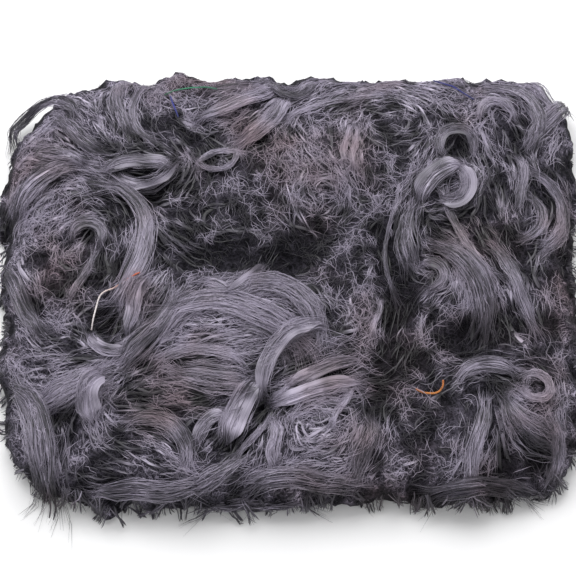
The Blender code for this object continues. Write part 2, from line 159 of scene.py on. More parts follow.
def read(field, x, y):
    """The field's value at plan places, weighted between the four grid points round each."""
    u = np.clip((x - X_LINE[0]) / STEP, 0, len(X_LINE) - 1.001)
    v = np.clip((y - Y_LINE[0]) / STEP, 0, len(Y_LINE) - 1.001)
    i, j = u.astype(int), v.astype(int)
    u, v = u - i, v - j
    low = field[i, j] * (1 - v) + field[i, j + 1] * v
    high = field[i + 1, j] * (1 - v) + field[i + 1, j + 1] * v
    return low * (1 - u) + high * u


soft_bed = blur(bed, 2 * MM)
level = blur(bed, 9 * MM)
broad = blur(bed, 36 * MM)
hollow = np.clip(level - bed, 0, None)
print("deepest hollow, mm", round(hollow[60:160, 50:130].max() / MM, 1))

# %% [markdown]
# The combed locks are the same arcs as in the frame, each from its start through a middle point to its end.
# Their finish needs two things more: how bright the lock is painted, because a lock shines when its filaments
# lie level and square to the light (a painted highlight) and is dull where it lies in shadow (painted shade),
# and how far it frays beyond its ends.

# %% The combed locks
# name, start, middle, end (mm), width (mm), fan, wave (mm), shine (painted light and shade), fray
LOCKS = (
    ("corner_loop", (-185, 108), (-176, 124), (-142, 119), 8, 0.0, 1, 0.45, 0.9),
    ("left_sweep", (-173, 47), (-154, 65), (-130, 71), 10, -0.4, 0, 0.6, 1.0),
    ("left_sweep_upper", (-160, 81), (-147, 77), (-133, 72), 8, -0.3, 0, 0.5, 0.8),
    ("upper_left_fan", (-150, 110), (-140, 97), (-124, 84), 8, 0.2, 1, 0.48, 1.2),
    ("top_strand", (-113, 133), (-112, 117), (-106, 101), 6, 0.0, -1, 0.6, 1.0),
    ("upper_band", (-56, 108), (-30, 117), (-10, 133), 8, 0.3, 1, 0.8, 0.7),
    ("upper_bow", (-2, 124), (-9, 107), (-28, 90), 9, 0.2, 0, 0.8, 0.9),
    ("top_curl", (-9, 134), (2, 126), (15, 134), 6, 0.0, 0, 0.45, 0.8),
    ("eye_upper", (-76, 73), (-96, 77), (-116, 70), 9, 0.0, 0, 0.7, 0.4),
    ("eye_lower", (-109, 64), (-96, 59), (-73, 75), 8.5, 0.0, 0, 0.85, 0.4),
    ("long_lock_left", (-110, 57), (-91, 31), (-103, -14), 11, 0.6, 2, 0.8, 1.0),
    ("claw_curl", (-138, 26), (-128, 34), (-119, 19), 6, 0.0, 0, 0.6, 0.6),
    ("left_rim_lock", (-179, 3), (-169, -16), (-157, -36), 8, 0.1, 1, 0.45, 1.0),
    ("far_right_band", (186, 126), (173, 109), (160, 92), 10, 0.2, 1, 0.6, 1.0),
    ("top_right_fold", (148, 110), (135, 118), (125, 108), 6, 0.0, 0, 0.7, 0.5),
    ("hole_rim_lock", (140, 133), (158, 122), (164, 97), 7, 0.0, 0, 0.55, 0.8),
    ("ring_curl_far", (84, 51), (92, 63), (109, 71), 12, 0.0, 0, 0.78, 0.4),
    ("ring_curl_near", (111, 69), (116, 58), (98, 48), 10, 0.0, 0, 0.7, 0.4),
    ("arch_curl", (100, 80), (112, 97), (120, 83), 7, 0.0, 0, 0.58, 0.5),
    ("right_sickle", (159, 69), (178, 42), (166, 19), 7, 0.3, 0, 0.8, 0.7),
    ("right_vertical", (150, 78), (152, 63), (149, 48), 6, 0.0, 1, 0.7, 0.8),
    ("fan_lock", (79, 42), (75, 26), (77, 8), 11, 0.9, 0, 0.6, 1.2),
    ("light_hook", (85, 5), (97, -1), (90, -14), 7, 0.0, 0, 0.68, 0.4),
    ("mid_right_sweep", (99, 15), (117, -5), (122, -34), 11, 0.2, 0, 0.58, 1.2),
    ("right_mid_lock", (132, 13), (143, -9), (152, -34), 7, 0.0, 1, 0.7, 1.0),
    ("left_mid_ribbon", (-88, -7), (-95, -21), (-100, -39), 8, 0.1, -1, 0.8, 0.5),
    ("ring_bottom", (-122, -43), (-111, -53), (-99, -51), 7, 0.0, 0, 0.9, 0.5),
    ("left_mid_fan", (-71, -21), (-83, -41), (-99, -59), 10, 0.5, 1, 0.7, 1.2),
    ("feather_lock", (-114, -66), (-130, -78), (-146, -85), 12, 0.6, 0, 0.75, 1.6),
    ("puff_lock", (-112, -72), (-120, -84), (-118, -97), 15, 0.0, 0, 0.7, 0.6),
    ("left_column", (-165, -78), (-151, -100), (-147, -131), 12, 0.2, 1, 0.5, 1.6),
    ("front_bow", (-93, -97), (-74, -98), (-60, -121), 8, 0.1, 0, 0.75, 0.9),
    ("combed_sweep", (-71, -29), (-34, -25), (1, -41), 9, 0.2, 2, 0.8, 2.4),
    ("combed_sweep_low", (-64, -69), (-45, -73), (-24, -75), 11, -0.2, 0, 0.7, 2.0),
    ("short_ribbon", (-15, 5), (-24, -9), (-38, -18), 8, 0.0, 0, 0.75, 0.4),
    ("crown_lock", (-22, -12), (3, -15), (18, -38), 9, 0.0, 0, 0.74, 2.4),
    ("ribbon_middle", (20, -37), (-5, -50), (-16, -82), 10, -0.1, 0, 0.82, 0.3),
    ("ribbon_wide", (-20, -76), (-29, -91), (-36, -109), 14, 0.1, 0, 0.8, 0.4),
    ("ribbon_low", (-39, -93), (-50, -99), (-55, -110), 8, 0.0, 0, 0.8, 0.3),
    ("wing_far", (1, -76), (22, -65), (41, -58), 8, 0.0, 0, 0.92, 0.3),
    ("wing_near", (-8, -86), (17, -79), (43, -73), 9, 0.0, -1, 0.94, 0.3),
    ("low_vertical", (-8, -100), (-8, -112), (-9, -124), 7, 0.1, 1, 0.8, 0.8),
    ("low_left_spread", (-30, -121), (-42, -130), (-55, -136), 7, 0.4, 0, 0.6, 1.2),
    ("right_low_lock", (51, -99), (48, -113), (42, -127), 9, 0.2, 1, 0.5, 1.2),
    ("lower_lump", (106, -67), (121, -61), (137, -65), 8, 0.0, 0, 0.6, 0.8),
    ("hook_curl", (146, -68), (160, -77), (144, -82), 5, -0.2, 0, 0.8, 0.7),
    ("cone_lock", (132, -88), (140, -103), (158, -110), 12, 0.9, 0, 0.52, 1.8),
    ("right_low_ribbon", (119, -88), (114, -108), (110, -128), 7, 0.2, 1, 0.75, 1.0),
    ("edge_right", (161, -100), (164, -114), (161, -129), 7, 0.1, 0, 0.6, 1.2),
    ("front_band_left", (-114, -137), (-84, -138), (-56, -136), 8, 0.0, 1, 0.72, 1.0),
    ("front_band_middle", (-18, -134), (8, -132), (38, -134), 8, 0.0, 1, 0.62, 1.0),
    ("front_band_right", (92, -138), (118, -134), (146, -136), 8, 0.0, -1, 0.55, 1.0),
)


def arc(start, middle, end, shares, wave):
    """Plan points along the circle through three points, at shares of the way from the first to the last,
    swung sideways by one S. A share below 0 or above 1 runs on past an end."""
    a, b, c = (complex(*p) * MM for p in (start, middle, end))
    ratio = (c - a) / (b - a)
    if abs(ratio.imag) < 0.02:
        path = a + (c - a) * shares
        normal = np.full(len(shares), 1j * (c - a) / abs(c - a))
    else:
        centre = a + (b - a) * (ratio - abs(ratio) ** 2) / (2j * ratio.imag)
        first = math.atan2((a - centre).imag, (a - centre).real)
        last = math.atan2((c - centre).imag, (c - centre).real)
        sweep = (last - first) % math.tau if ratio.imag > 0 else -((first - last) % math.tau)
        spoke = np.exp(1j * (first + sweep * shares))
        path = centre + abs(a - centre) * spoke
        normal = spoke * -math.copysign(1, sweep)
    path = path + normal * wave * MM * np.sin(math.tau * shares)
    return np.stack([path.real, path.imag], axis=1)


crest = bed.copy()
for name, *_ in LOCKS:
    low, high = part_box("lock_" + name)
    near = (grid_x > low[0]) & (grid_x < high[0]) & (grid_y > low[1]) & (grid_y < high[1])
    z = tops(tree_of("lock_" + name), zip(grid_x[near], grid_y[near]))
    crest[near] = np.fmax(crest[near], z)
crest = blur(crest, 2 * MM)
print(len(LOCKS), "combed locks, highest, mm", round(crest.max() / MM, 1))

# %% [markdown]
# Loose fibre isn't random: wisps keep to the direction in which they were last pulled. So each place of the
# heap is given a direction, from the locks near it, from whorls and combed patches, and from slow noise
# elsewhere. Directions are added as doubled angles, because a fibre has no front or back, and then halved.

# %% Direction of the fibre
# Whorls, mm: middle x, y, radius
WHORLS = (
    (-46, -30, 17), (14, -98, 15), (21, 52, 14), (106, 62, 15), (-93, 72, 13), (150, -76, 10),
    (-112, -33, 14), (158, 118, 16), (70, 105, 16),
)
# Combed patches, mm and degrees: middle x, y, radius, heading
PATCHES = (
    (40, 88, 13, 95), (5, 95, 18, 120), (-62, 95, 12, -58), (-140, -50, 16, 6), (-30, -62, 20, 2),
    (-35, -48, 16, 12), (-20, -138, 50, 3), (30, 122, 26, 24), (85, 130, 24, 150), (-76, 24, 11, -28),
    (130, 40, 14, 110), (66, -40, 14, 80), (-70, -125, 20, -40), (-165, 95, 14, 40),
)
LOCK_SWAY = 8 * MM
LOCK_PULL = 0.5
NAMED_PULL = 0.8
NOISE_PULL = 0.16


def spot(x, y, radius):
    """A field that is one at a place and falls off round it."""
    return np.exp(-((grid_x - x) ** 2 + (grid_y - y) ** 2) / (2 * radius**2))


def soft_noise(x, y, size, waves=14):
    """Slow noise of about one: a sum of sine waves that cross at random angles, each about size long."""
    angle = random.uniform(0, math.tau, waves)
    phase = random.uniform(0, math.tau, waves)
    length = size * random.uniform(0.7, 1.5, waves)
    along = x[..., None] * np.cos(angle) + y[..., None] * np.sin(angle)
    return np.sin(along * math.tau / length + phase).sum(axis=-1) / math.sqrt(waves / 2)


turn_noise = soft_noise(grid_x, grid_y, 70 * MM)
doubled = NOISE_PULL * np.exp(2j * math.pi * 0.9 * turn_noise)
for _, start, middle, end, _, _, wave, *_ in LOCKS:
    run = arc(start, middle, end, np.linspace(0, 1, 9), wave)
    ahead = np.gradient(run, axis=0)
    for (x, y), angle in zip(run, np.arctan2(ahead[:, 1], ahead[:, 0])):
        doubled += LOCK_PULL * spot(x, y, LOCK_SWAY) * np.exp(2j * angle)
for x, y, radius in WHORLS:
    round_it = np.arctan2(grid_y - y * MM, grid_x - x * MM) + math.pi / 2
    doubled += NAMED_PULL * spot(x * MM, y * MM, radius * MM) * np.exp(2j * round_it)
for x, y, radius, heading in PATCHES:
    doubled += NAMED_PULL * spot(x * MM, y * MM, radius * MM) * np.exp(2j * math.radians(heading))
combed_share = np.clip((np.abs(doubled) - NOISE_PULL) / LOCK_PULL, 0, 1)


# %% Direction at a place
def direction(x, y, now):
    """The fibre's direction at plan places, as the one of its two senses that is nearer to now."""
    angle = np.arctan2(read(doubled.imag, x, y), read(doubled.real, x, y)) / 2
    turn = (angle - now + math.pi / 2) % math.pi - math.pi / 2
    return now + turn


print("directions laid on", doubled.shape, "places")

# %% [markdown]
# The tone of the fibre is painted light and shade that follows the heap's relief: on the mounds the filaments
# lie close and level and shine, and their tone is painted paler; in the hollows they hang loose and let the
# dark through, and their tone is painted darker. Both the broad mounds and the small hollows count, with slow
# clouds of tone of its own. Places are named besides: gaps, over which little fibre lies and that let the
# dark through, painted dark as shade, and pale mounds, on which most of it lies, painted pale as light.

# %% Painted light and shade
TONE_START = 0.355
# Painted light: the tone rises for each mm above the broad and the smooth level, so hollows are painted
# darker.
PAINTED_LIGHT_BROAD = 0.045  # for each mm above the broad level
PAINTED_LIGHT_NEAR = 0.11  # for each mm above the smooth level
TONE_CLOUD = 0.14
TONE_MOTTLE = 0.19
# Painted shade in the gaps and painted light on the pale mounds.
GAP_PAINTED_SHADE = 0.5
MOUND_PAINTED_LIGHT = 0.4
# Gaps, painted darker as shade, mm: middle x, y, radius
GAPS = (
    (-52, 90, 6), (-39, 16, 10), (-14, 6, 8), (8, 23, 9), (104, 107, 4), (132, 63, 5), (170, 76, 14),
    (170, 54, 13), (148, 92, 9), (146, 2, 13), (146, 21, 11), (168, 2, 12), (158, -34, 10),
    (148, -50, 11), (-158, 9, 10), (-117, -1, 7), (73, -21, 10), (128, -40, 14), (70, -58, 8),
    (64, -90, 5), (-39, -122, 8), (145, -119, 14), (89, -126, 10), (98, -96, 9), (112, -102, 12),
    (86, -112, 10), (124, -82, 9), (-112, -124, 13), (56, -124, 8), (102, 60, 4), (112, 84, 5),
    (-96, 68, 5), (-104, 45, 8), (-126, 23, 4), (-131, -108, 9), (-104, -110, 8), (-110, 46, 7),
    (-84, 52, 7), (8, -126, 7), (-20, -122, 6), (66, 96, 5),
)
# Pale mounds, painted lighter as light, mm: middle x, y, radius
MOUNDS = (
    (20, 70, 22), (44, 58, 18), (40, 46, 15), (58, 64, 11), (36, 90, 12), (-34, 96, 9), (-146, 32, 18),
    (-95, -16, 15), (-72, -76, 12), (50, -30, 17), (56, -76, 9), (122, 72, 11), (-10, -148, 16),
    (-36, -25, 26), (-5, -14, 14), (-46, -58, 18), (-60, -44, 14), (-56, -3, 10), (34, -84, 9),
    (20, -105, 18), (12, -100, 15), (-124, -78, 14), (117, -4, 12), (-161, 110, 10),
)


def spots(rows):
    """A field that is one in the middle of each named place and falls off round it."""
    return np.max([spot(x * MM, y * MM, radius * MM) for x, y, radius in rows], axis=0)


cloud = soft_noise(grid_x, grid_y, 28 * MM)
mottle = soft_noise(grid_x, grid_y, 13 * MM, 24)
gap = spots(GAPS)
mound = spots(MOUNDS)
# The heap's tone: painted light and shade from the relief, mounds and gaps, with clouds and mottle of random
# tone.
pale = TONE_START + PAINTED_LIGHT_BROAD * (soft_bed - broad) / MM + PAINTED_LIGHT_NEAR * (soft_bed - level) / MM
pale = pale + TONE_CLOUD * cloud + TONE_MOTTLE * mottle + MOUND_PAINTED_LIGHT * mound - GAP_PAINTED_SHADE * gap
pale = np.clip(pale, 0.0, 1.0)
print("tone of the heap from", round(pale.min(), 2), "to", round(pale.max(), 2))

# %% [markdown]
# Every strand, lock and thread is a loft: a small closed profile carried along a path. One function makes the
# points of many lofts at once, a second one their faces, and a third puts them into a mesh. The profile lies
# square to the path and level across, and a roll turns it about the path.

# %% Lofts
UP = np.array([0.0, 0.0, 1.0])


def unit(vectors):
    """The vectors at length one."""
    return vectors / np.maximum(np.linalg.norm(vectors, axis=-1, keepdims=True), 1e-9)


def loft(paths, across, up, profile, roll=0.0):
    """Points of many lofts: path point + side * across * profile x + lift * up * profile y. paths is lofts by
    sections by 3, across and up are lofts by sections, and profile is sides by 2 or lofts by sides by 2."""
    along = unit(np.gradient(paths, axis=1))
    side = unit(np.cross(along, UP))
    lift = np.cross(side, along)
    roll = np.broadcast_to(roll, across.shape)[..., None]
    side, lift = side * np.cos(roll) + lift * np.sin(roll), lift * np.cos(roll) - side * np.sin(roll)
    shape = np.broadcast_to(profile, (len(paths), *profile.shape[-2:]))[:, None]
    shift = side[:, :, None] * (across[..., None] * shape[..., 0])[..., None]
    shift = shift + lift[:, :, None] * (up[..., None] * shape[..., 1])[..., None]
    return paths[:, :, None] + shift


def loft_faces(count, sections, sides):
    """Four-cornered faces between neighbouring sections, and a cap at each end, for profiles that run
    anticlockwise as seen by someone who looks back along the path."""
    n = np.arange(count)[:, None, None] * sections * sides
    s = np.arange(sections - 1)[None, :, None] * sides
    k = np.arange(sides)[None, None, :]
    after = (k + 1) % sides
    quads = np.stack([n + s + k, n + s + after, n + s + sides + after, n + s + sides + k], axis=-1)
    first = (n + k[..., ::-1]).reshape(count, sides)
    last = (n + (sections - 1) * sides + k).reshape(count, sides)
    return [quads.reshape(-1, 4), np.concatenate([first, last])]


def loft_map(count, sections, sides):
    """A place on the unit square for every corner of the faces. Each loft has a cell of its own there, its
    length along one side and its girth along the other."""
    columns = max(1, round(math.sqrt(count * sides / sections)))
    rows = math.ceil(count / columns)
    cell = np.arange(count)
    left, low = (cell % columns)[:, None, None], (cell // columns)[:, None, None]
    s = np.arange(sections - 1)[None, :, None]
    k = np.arange(sides)[None, None, :]
    corners = []
    for ds, dk in ((0, 0), (0, 1), (1, 1), (1, 0)):
        u = (left + 0.04 + 0.92 * (s + ds) / (sections - 1) + 0 * k) / columns
        v = (low + 0.06 + 0.88 * (k + dk) / sides + 0 * s) / rows
        corners.append(np.stack([u, v], axis=-1))
    quads = np.stack(corners, axis=-2).reshape(-1, 4, 2)
    turn = np.arange(sides) * math.tau / sides
    ring = np.stack([np.cos(turn) * 0.02 / columns, np.sin(turn) * 0.02 / rows], axis=-1)
    ends = []
    for end in (0.02, 0.98):
        middle = np.stack([(left[:, 0, 0] + end) / columns, (low[:, 0, 0] + 0.5) / rows], axis=-1)
        ends.append(middle[:, None] + ring)
    return [quads, np.concatenate(ends)]


# %% Meshes
CRISP = math.radians(65)


def add_mesh(name, points, faces, places=None, band=False, **values):
    """A piece from arrays: points, a list of face arrays of one size each, places on the unit square for the
    corners, and named values for the points. A band is shaded with crisp edges, so that it looks flat."""
    corners = np.concatenate([f.ravel() for f in faces]).astype(np.int32)
    sizes = np.concatenate([np.full(len(f), f.shape[1]) for f in faces])
    mesh = bpy.data.meshes.new(name)
    mesh.vertices.add(len(points))
    mesh.vertices.foreach_set("co", np.asarray(points, np.float32).ravel())
    mesh.loops.add(len(corners))
    mesh.loops.foreach_set("vertex_index", corners)
    mesh.polygons.add(len(sizes))
    mesh.polygons.foreach_set("loop_start", (np.cumsum(sizes) - sizes).astype(np.int32))
    mesh.update(calc_edges=True)
    if places is not None:
        flat = np.concatenate([p.reshape(-1, 2) for p in places])
        mesh.uv_layers.new(name="OFBake").data.foreach_set("uv", flat.astype(np.float32).ravel())
    for key, value in values.items():
        layer = mesh.attributes.new(key, "FLOAT", "POINT")
        layer.data.foreach_set("value", np.asarray(value, np.float32).ravel())
    mesh.shade_smooth()
    if band:
        mesh.set_sharp_from_angle(angle=CRISP)
    print(f"{name}: {len(points)} points, {int((sizes - 2).sum())} triangles")
    return put(name, mesh)


def add_lofts(name, points, band=False, **values):
    """A piece from the points of many lofts, with one value for each loft or each section."""
    count, sections, sides = points.shape[:3]
    spread = {}
    for key, value in values.items():
        value = np.asarray(value)
        while value.ndim < 3:
            value = value[..., None]
        spread[key] = np.broadcast_to(value, (count, sections, sides))
    faces, places = loft_faces(count, sections, sides), loft_map(count, sections, sides)
    return add_mesh(name, points.reshape(-1, 3), faces, places, band, **spread)


# %% [markdown]
# The finishes. Silk is a clear, smooth filament, so light glances off it along its length and the dye shows
# between the glints: a near-black violet grey that turns pale where a filament faces the light, and that pale
# is painted into the colour as painted sheen. All the silk shares one ramp, from the dye's deep tone to the
# pale one of the painted sheen, with a warm cast in patches where the dye took less.

# %% Colours and nodes
def linear(code):
    """Linear colour, with full alpha, from an sRGB hex code."""
    parts = [int(code[i : i + 2], 16) / 255 for i in (0, 2, 4)]
    return (*(c / 12.92 if c <= 0.04045 else ((c + 0.055) / 1.055) ** 2.4 for c in parts), 1)


def add_node(tree, kind, settings=None, **inputs):
    """One node with its settings, its input values by name, and its links where a value is an output."""
    made = tree.nodes.new(kind)
    for key, value in (settings or {}).items():
        setattr(made, key, value)
    for key, value in inputs.items():
        socket = made.inputs[int(key[1:])] if key[0] == "i" and key[1:].isdigit() else made.inputs[key]
        if isinstance(value, bpy.types.NodeSocket):
            tree.links.new(value, socket)
        else:
            socket.default_value = value
    return made


def ramp(tree, value, *stops):
    """A colour ramp on a value, from pairs of place and colour."""
    made = add_node(tree, "ShaderNodeValToRGB", Fac=value)
    while len(made.color_ramp.elements) < len(stops):
        made.color_ramp.elements.new(0.5)
    for element, (place, colour) in zip(made.color_ramp.elements, stops):
        element.position = place
        element.color = colour
    return made.outputs["Color"]


def own_value(tree, name):
    """The value of that name that the mesh brings with it."""
    return add_node(tree, "ShaderNodeAttribute", {"attribute_name": name}).outputs["Fac"]


def reckon(tree, operation, *values):
    """One step of arithmetic."""
    inputs = {f"i{n}": value for n, value in enumerate(values)}
    return add_node(tree, "ShaderNodeMath", {"operation": operation}, **inputs).outputs[0]


def ranged(tree, value, *limits):
    """The value, carried from one range to another and kept inside it: from, from, to, to."""
    inputs = dict(zip(("From Min", "From Max", "To Min", "To Max"), limits))
    return add_node(tree, "ShaderNodeMapRange", Value=value, **inputs).outputs["Result"]


def noise(tree, place, detail, distortion=0.0):
    """Noise whose waves are one unit of the place long."""
    inputs = {"Scale": 1.0, "Detail": detail, "Distortion": distortion}
    return add_node(tree, "ShaderNodeTexNoise", Vector=place, **inputs).outputs["Fac"]


def new_finish(name, roughness, ior, sheen=0.0):
    """A material, its tree and its shader, with what is the same all over set on the shader."""
    material = bpy.data.materials.new(name)
    material.use_nodes = True
    shader = material.node_tree.nodes["Principled BSDF"]
    shader.inputs["Roughness"].default_value = roughness
    shader.inputs["IOR"].default_value = ior
    shader.inputs["Sheen Weight"].default_value = sheen
    shader.inputs["Sheen Roughness"].default_value = 0.4
    return material, material.node_tree, shader


# %% Dyed silk
SILK_IOR = 1.54
DEEP = linear("0a0a0e")
MIDDLE = linear("524e5a")
# The pale end of the ramp is painted sheen, not a colour of the dye.
PAINTED_SHEEN_PALE = linear("b8b0c4")
WARM = linear("7a6a62")
PATCH_MM = 55


def mapped(tree, scale):
    """Object coordinates at a scale, in waves for each metre."""
    place = add_node(tree, "ShaderNodeTexCoord").outputs["Object"]
    return add_node(tree, "ShaderNodeMapping", Vector=place, Scale=(scale, scale, scale)).outputs["Vector"]


def dye_and_painted_sheen(tree, tone):
    """The colour for a tone from nought to one, deep dye up to painted sheen, with the dye's warm patches."""
    colour = ramp(tree, tone, (0.0, DEEP), (0.5, MIDDLE), (1.0, PAINTED_SHEEN_PALE))
    share = ranged(tree, noise(tree, mapped(tree, 1000 / PATCH_MM), 3.0), 0.5, 0.72, 0.0, 0.7)
    cast = (*(min(1.0, 3.2 * c) for c in WARM[:3]), 1)
    how = {"data_type": "RGBA", "blend_type": "MULTIPLY"}
    return add_node(tree, "ShaderNodeMix", how, i0=share, i6=colour, i7=cast).outputs[2]


def filament_silk(name, roughness):
    """Single filaments: the tone, painted light and shade included, is each strand's own."""
    material, tree, shader = new_finish(name, roughness, SILK_IOR, 0.05)
    tree.links.new(dye_and_painted_sheen(tree, own_value(tree, "tone")), shader.inputs["Base Color"])
    return material


# Webs of lines on the core: wave length of the noise (mm), half width of a line, brightness, seed
CORE_WEBS = (
    (7.0, 0.03, 0.95, 0.0),
    (5.0, 0.035, 0.75, 7.3),
    (6.0, 0.035, 0.6, 13.1),
    (4.0, 0.04, 0.45, 21.7),
    (9.0, 0.02, 0.8, 31.9),
)
CORE_LEAST = 0.22  # share of their brightness that the lines keep where the heap is darkest
CORE_FELT = 0.19  # brightness of the felt between the lines
FILAMENT_MM = 0.35  # real filaments are far finer and wouldn't show
LINE_CONTRAST = 1.05


def combed_silk(name, roughness):
    """A combed lock: lines of light and dark filaments along it, as noise that is stretched along the lock
    and read from the lock's own across and along values, in millimetres."""
    material, tree, shader = new_finish(name, roughness, SILK_IOR, 0.1)
    across, along = own_value(tree, "across"), own_value(tree, "along")
    place = add_node(tree, "ShaderNodeCombineXYZ", X=across, Y=along).outputs["Vector"]
    fine = (1 / FILAMENT_MM, 0.03, 1)
    lines = noise(tree, add_node(tree, "ShaderNodeMapping", Vector=place, Scale=fine).outputs["Vector"], 3.0)
    contrast = reckon(tree, "MULTIPLY", reckon(tree, "SUBTRACT", lines, 0.5), LINE_CONTRAST)
    lit = reckon(tree, "ADD", own_value(tree, "tone"), contrast)
    tree.links.new(dye_and_painted_sheen(tree, lit), shader.inputs["Base Color"])
    bump = add_node(tree, "ShaderNodeBump", Height=lines, Strength=0.4, Distance=0.0003)
    tree.links.new(bump.outputs["Normal"], shader.inputs["Normal"])
    return material


def matted_silk(name):
    """The core: dark felted fibre. Its filaments are the thin lines along which a noise passes through its
    middle value, in several layers."""
    material, tree, shader = new_finish(name, 0.75, SILK_IOR, 0.0)
    shader.inputs["Specular IOR Level"].default_value = 0.1
    web = None
    for wave_mm, line, bright, seed in CORE_WEBS:
        scaled = mapped(tree, 1000 / wave_mm)
        place = add_node(tree, "ShaderNodeVectorMath", {"operation": "ADD"}, i0=scaled, i1=(seed,) * 3)
        off = reckon(tree, "SUBTRACT", noise(tree, place.outputs[0], 1.5, 0.9), 0.5)
        drawn = ranged(tree, reckon(tree, "ABSOLUTE", off), 0.0, line, bright, 0.0)
        web = drawn if web is None else reckon(tree, "MAXIMUM", web, drawn)
    tone = own_value(tree, "tone")
    strength = reckon(tree, "MULTIPLY_ADD", tone, 1 - CORE_LEAST, CORE_LEAST)
    lit = reckon(tree, "MULTIPLY_ADD", web, strength, reckon(tree, "MULTIPLY", tone, CORE_FELT))
    tree.links.new(dye_and_painted_sheen(tree, lit), shader.inputs["Base Color"])
    bump = add_node(tree, "ShaderNodeBump", Height=web, Strength=0.6, Distance=0.0006)
    tree.links.new(bump.outputs["Normal"], shader.inputs["Normal"])
    return material


STRAND_SILK = filament_silk("dyed silk filaments", 0.42)
LOCK_SILK = combed_silk("combed silk", 0.52)
CORE_SILK = matted_silk("matted silk")
print("silk finishes made")


def finish_piece(piece, material, nodes=()):
    """The piece's finish, the body it rides on, and the frame nodes that it stands for."""
    piece.data.materials.append(material)
    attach(piece, "root")
    if nodes:
        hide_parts(*nodes)


# %% [markdown]
# The core stands for the felted inside of the heap. It follows the frame's bed a few millimetres lower, so
# that the loose fibre above it has depth, and it shows only in the gaps. Its outline is read from the frame:
# in each direction, how far the bed reaches, with the rim locks filtered out.

# %% Outline of the bed
TURNS = 360
LEAST_RIM = 11 * MM
REACH_LINE = np.arange(0.10, 0.26, 0.001)


def outline():
    """Reach of the bed in many directions: the farthest place whose top is well above the floor. A median
    over neighbouring directions leaves the rim locks out."""
    turn = np.arange(TURNS) * math.tau / TURNS
    x = REACH_LINE[None] * np.cos(turn)[:, None]
    y = REACH_LINE[None] * np.sin(turn)[:, None]
    inside = read(bed, x, y) > LEAST_RIM
    last = REACH_LINE[inside.shape[1] - 1 - np.argmax(inside[:, ::-1], axis=1)]
    around = np.stack([np.roll(last, k) for k in range(-5, 6)])
    return np.median(around, axis=0)


rim = outline()


def rim_at(turn):
    """Reach of the bed in any direction."""
    place = np.mod(turn, math.tau) * TURNS / math.tau
    low = np.floor(place).astype(int)
    share = place - low
    return rim[low % TURNS] * (1 - share) + rim[(low + 1) % TURNS] * share


print("bed reaches, mm:", round(rim.min() / MM), "to", round(rim.max() / MM))

# %% The matted core
CORE_CELLS = (150, 116)
CORE_HALF = (0.18, 0.142)
CORE_INSET = 2 * MM
CORE_THIN = 5 * MM
CORE_SINK = 2.6 * MM
CORE_LUMP = 1.3 * MM
# Rings of the side: share of the edge's height, how far it bulges (mm)
CORE_SIDE = ((0.86, 1.5), (0.66, 2.2), (0.45, 2.2), (0.25, 1.2), (0.1, -1.0), (0.0, -4.0))


def core_grid():
    """Plan of the core: a square grid whose rings are stretched to the bed's outline."""
    s, t = np.meshgrid(*(np.linspace(-1, 1, n + 1) for n in CORE_CELLS), indexing="ij")
    half_x, half_y = CORE_HALF
    reach = np.maximum(np.maximum(np.abs(s), np.abs(t)), 1e-6)
    turn = np.arctan2(t * half_y, s * half_x)
    square = np.maximum(np.hypot(s * half_x, t * half_y) / reach, half_y)
    stretch = (rim_at(turn) - CORE_INSET) / square
    return s * half_x * stretch, t * half_y * stretch, reach


def build_core():
    """Points and faces of the core: a lumpy top, a bulging side of rings, and a flat base."""
    x, y, reach = core_grid()
    lumps = soft_noise(x, y, 7 * MM) + 0.6 * soft_noise(x, y, 3.5 * MM)
    inner = np.clip((1 - reach) / 0.06, 0, 1)
    pulled = 0.985 + 0.015 * inner
    z = read(soft_bed, x * pulled, y * pulled) - CORE_SINK + CORE_LUMP * lumps
    top = np.stack([x, y, np.maximum(z, CORE_THIN)], axis=-1)
    across, deep = top.shape[:2]
    number = np.arange(across * deep).reshape(across, deep)
    quads = np.stack([number[:-1, :-1], number[1:, :-1], number[1:, 1:], number[:-1, 1:]], axis=-1)
    edge = np.concatenate([number[:, 0], number[-1, 1:], number[-2::-1, -1], number[0, -2:0:-1]])
    points = [top.reshape(-1, 3)]
    loop = points[0][edge]
    out = unit(loop * (1, 1, 0))
    faces, before, total = [quads.reshape(-1, 4)], edge, across * deep
    for share, bulge in CORE_SIDE:
        rough = soft_noise(loop[:, 0], loop[:, 1] + share, 9 * MM) * (share > 0)
        ring = loop + out * ((bulge + 0.7 * rough) * MM)[:, None]
        ring[:, 2] = loop[:, 2] * share
        after = np.arange(total, total + len(edge))
        ahead = np.roll(np.arange(len(edge)), -1)
        faces.append(np.stack([after, after[ahead], before[ahead], before], axis=-1))
        points.append(ring)
        before, total = after, total + len(edge)
    faces.append(before[::-1][None])
    return np.concatenate(points), faces


core_points, core_faces = build_core()
# The core's tone follows the heap's painted light and shade, so it is painted near black in gaps and hollows.
core_tone = 1.1 * read(pale, core_points[:, 0], core_points[:, 1]) - 0.1
core = add_mesh("matted_core", core_points, core_faces, tone=np.clip(core_tone, 0.02, 1))
finish_piece(core, CORE_SILK, ["tangle"])

# %% [markdown]
# A wisp is a handful of filaments that share one run and part a little along it. The runs are walked out step
# by step from scattered roots, all at once: each step turns towards the fibre's direction there, and by the
# wisp's own curl. The filaments then swing about their wisp in small waves, rise over the bed and dive at
# both ends. A profile of three sides is enough for a filament as thin as a pixel.

# %% Walking the runs
THREE = np.array([[math.cos(a), math.sin(a)] for a in (math.pi / 2, math.pi * 7 / 6, math.pi * 11 / 6)])
ROOT_REACH = 0.97  # roots keep this share of the way to the rim


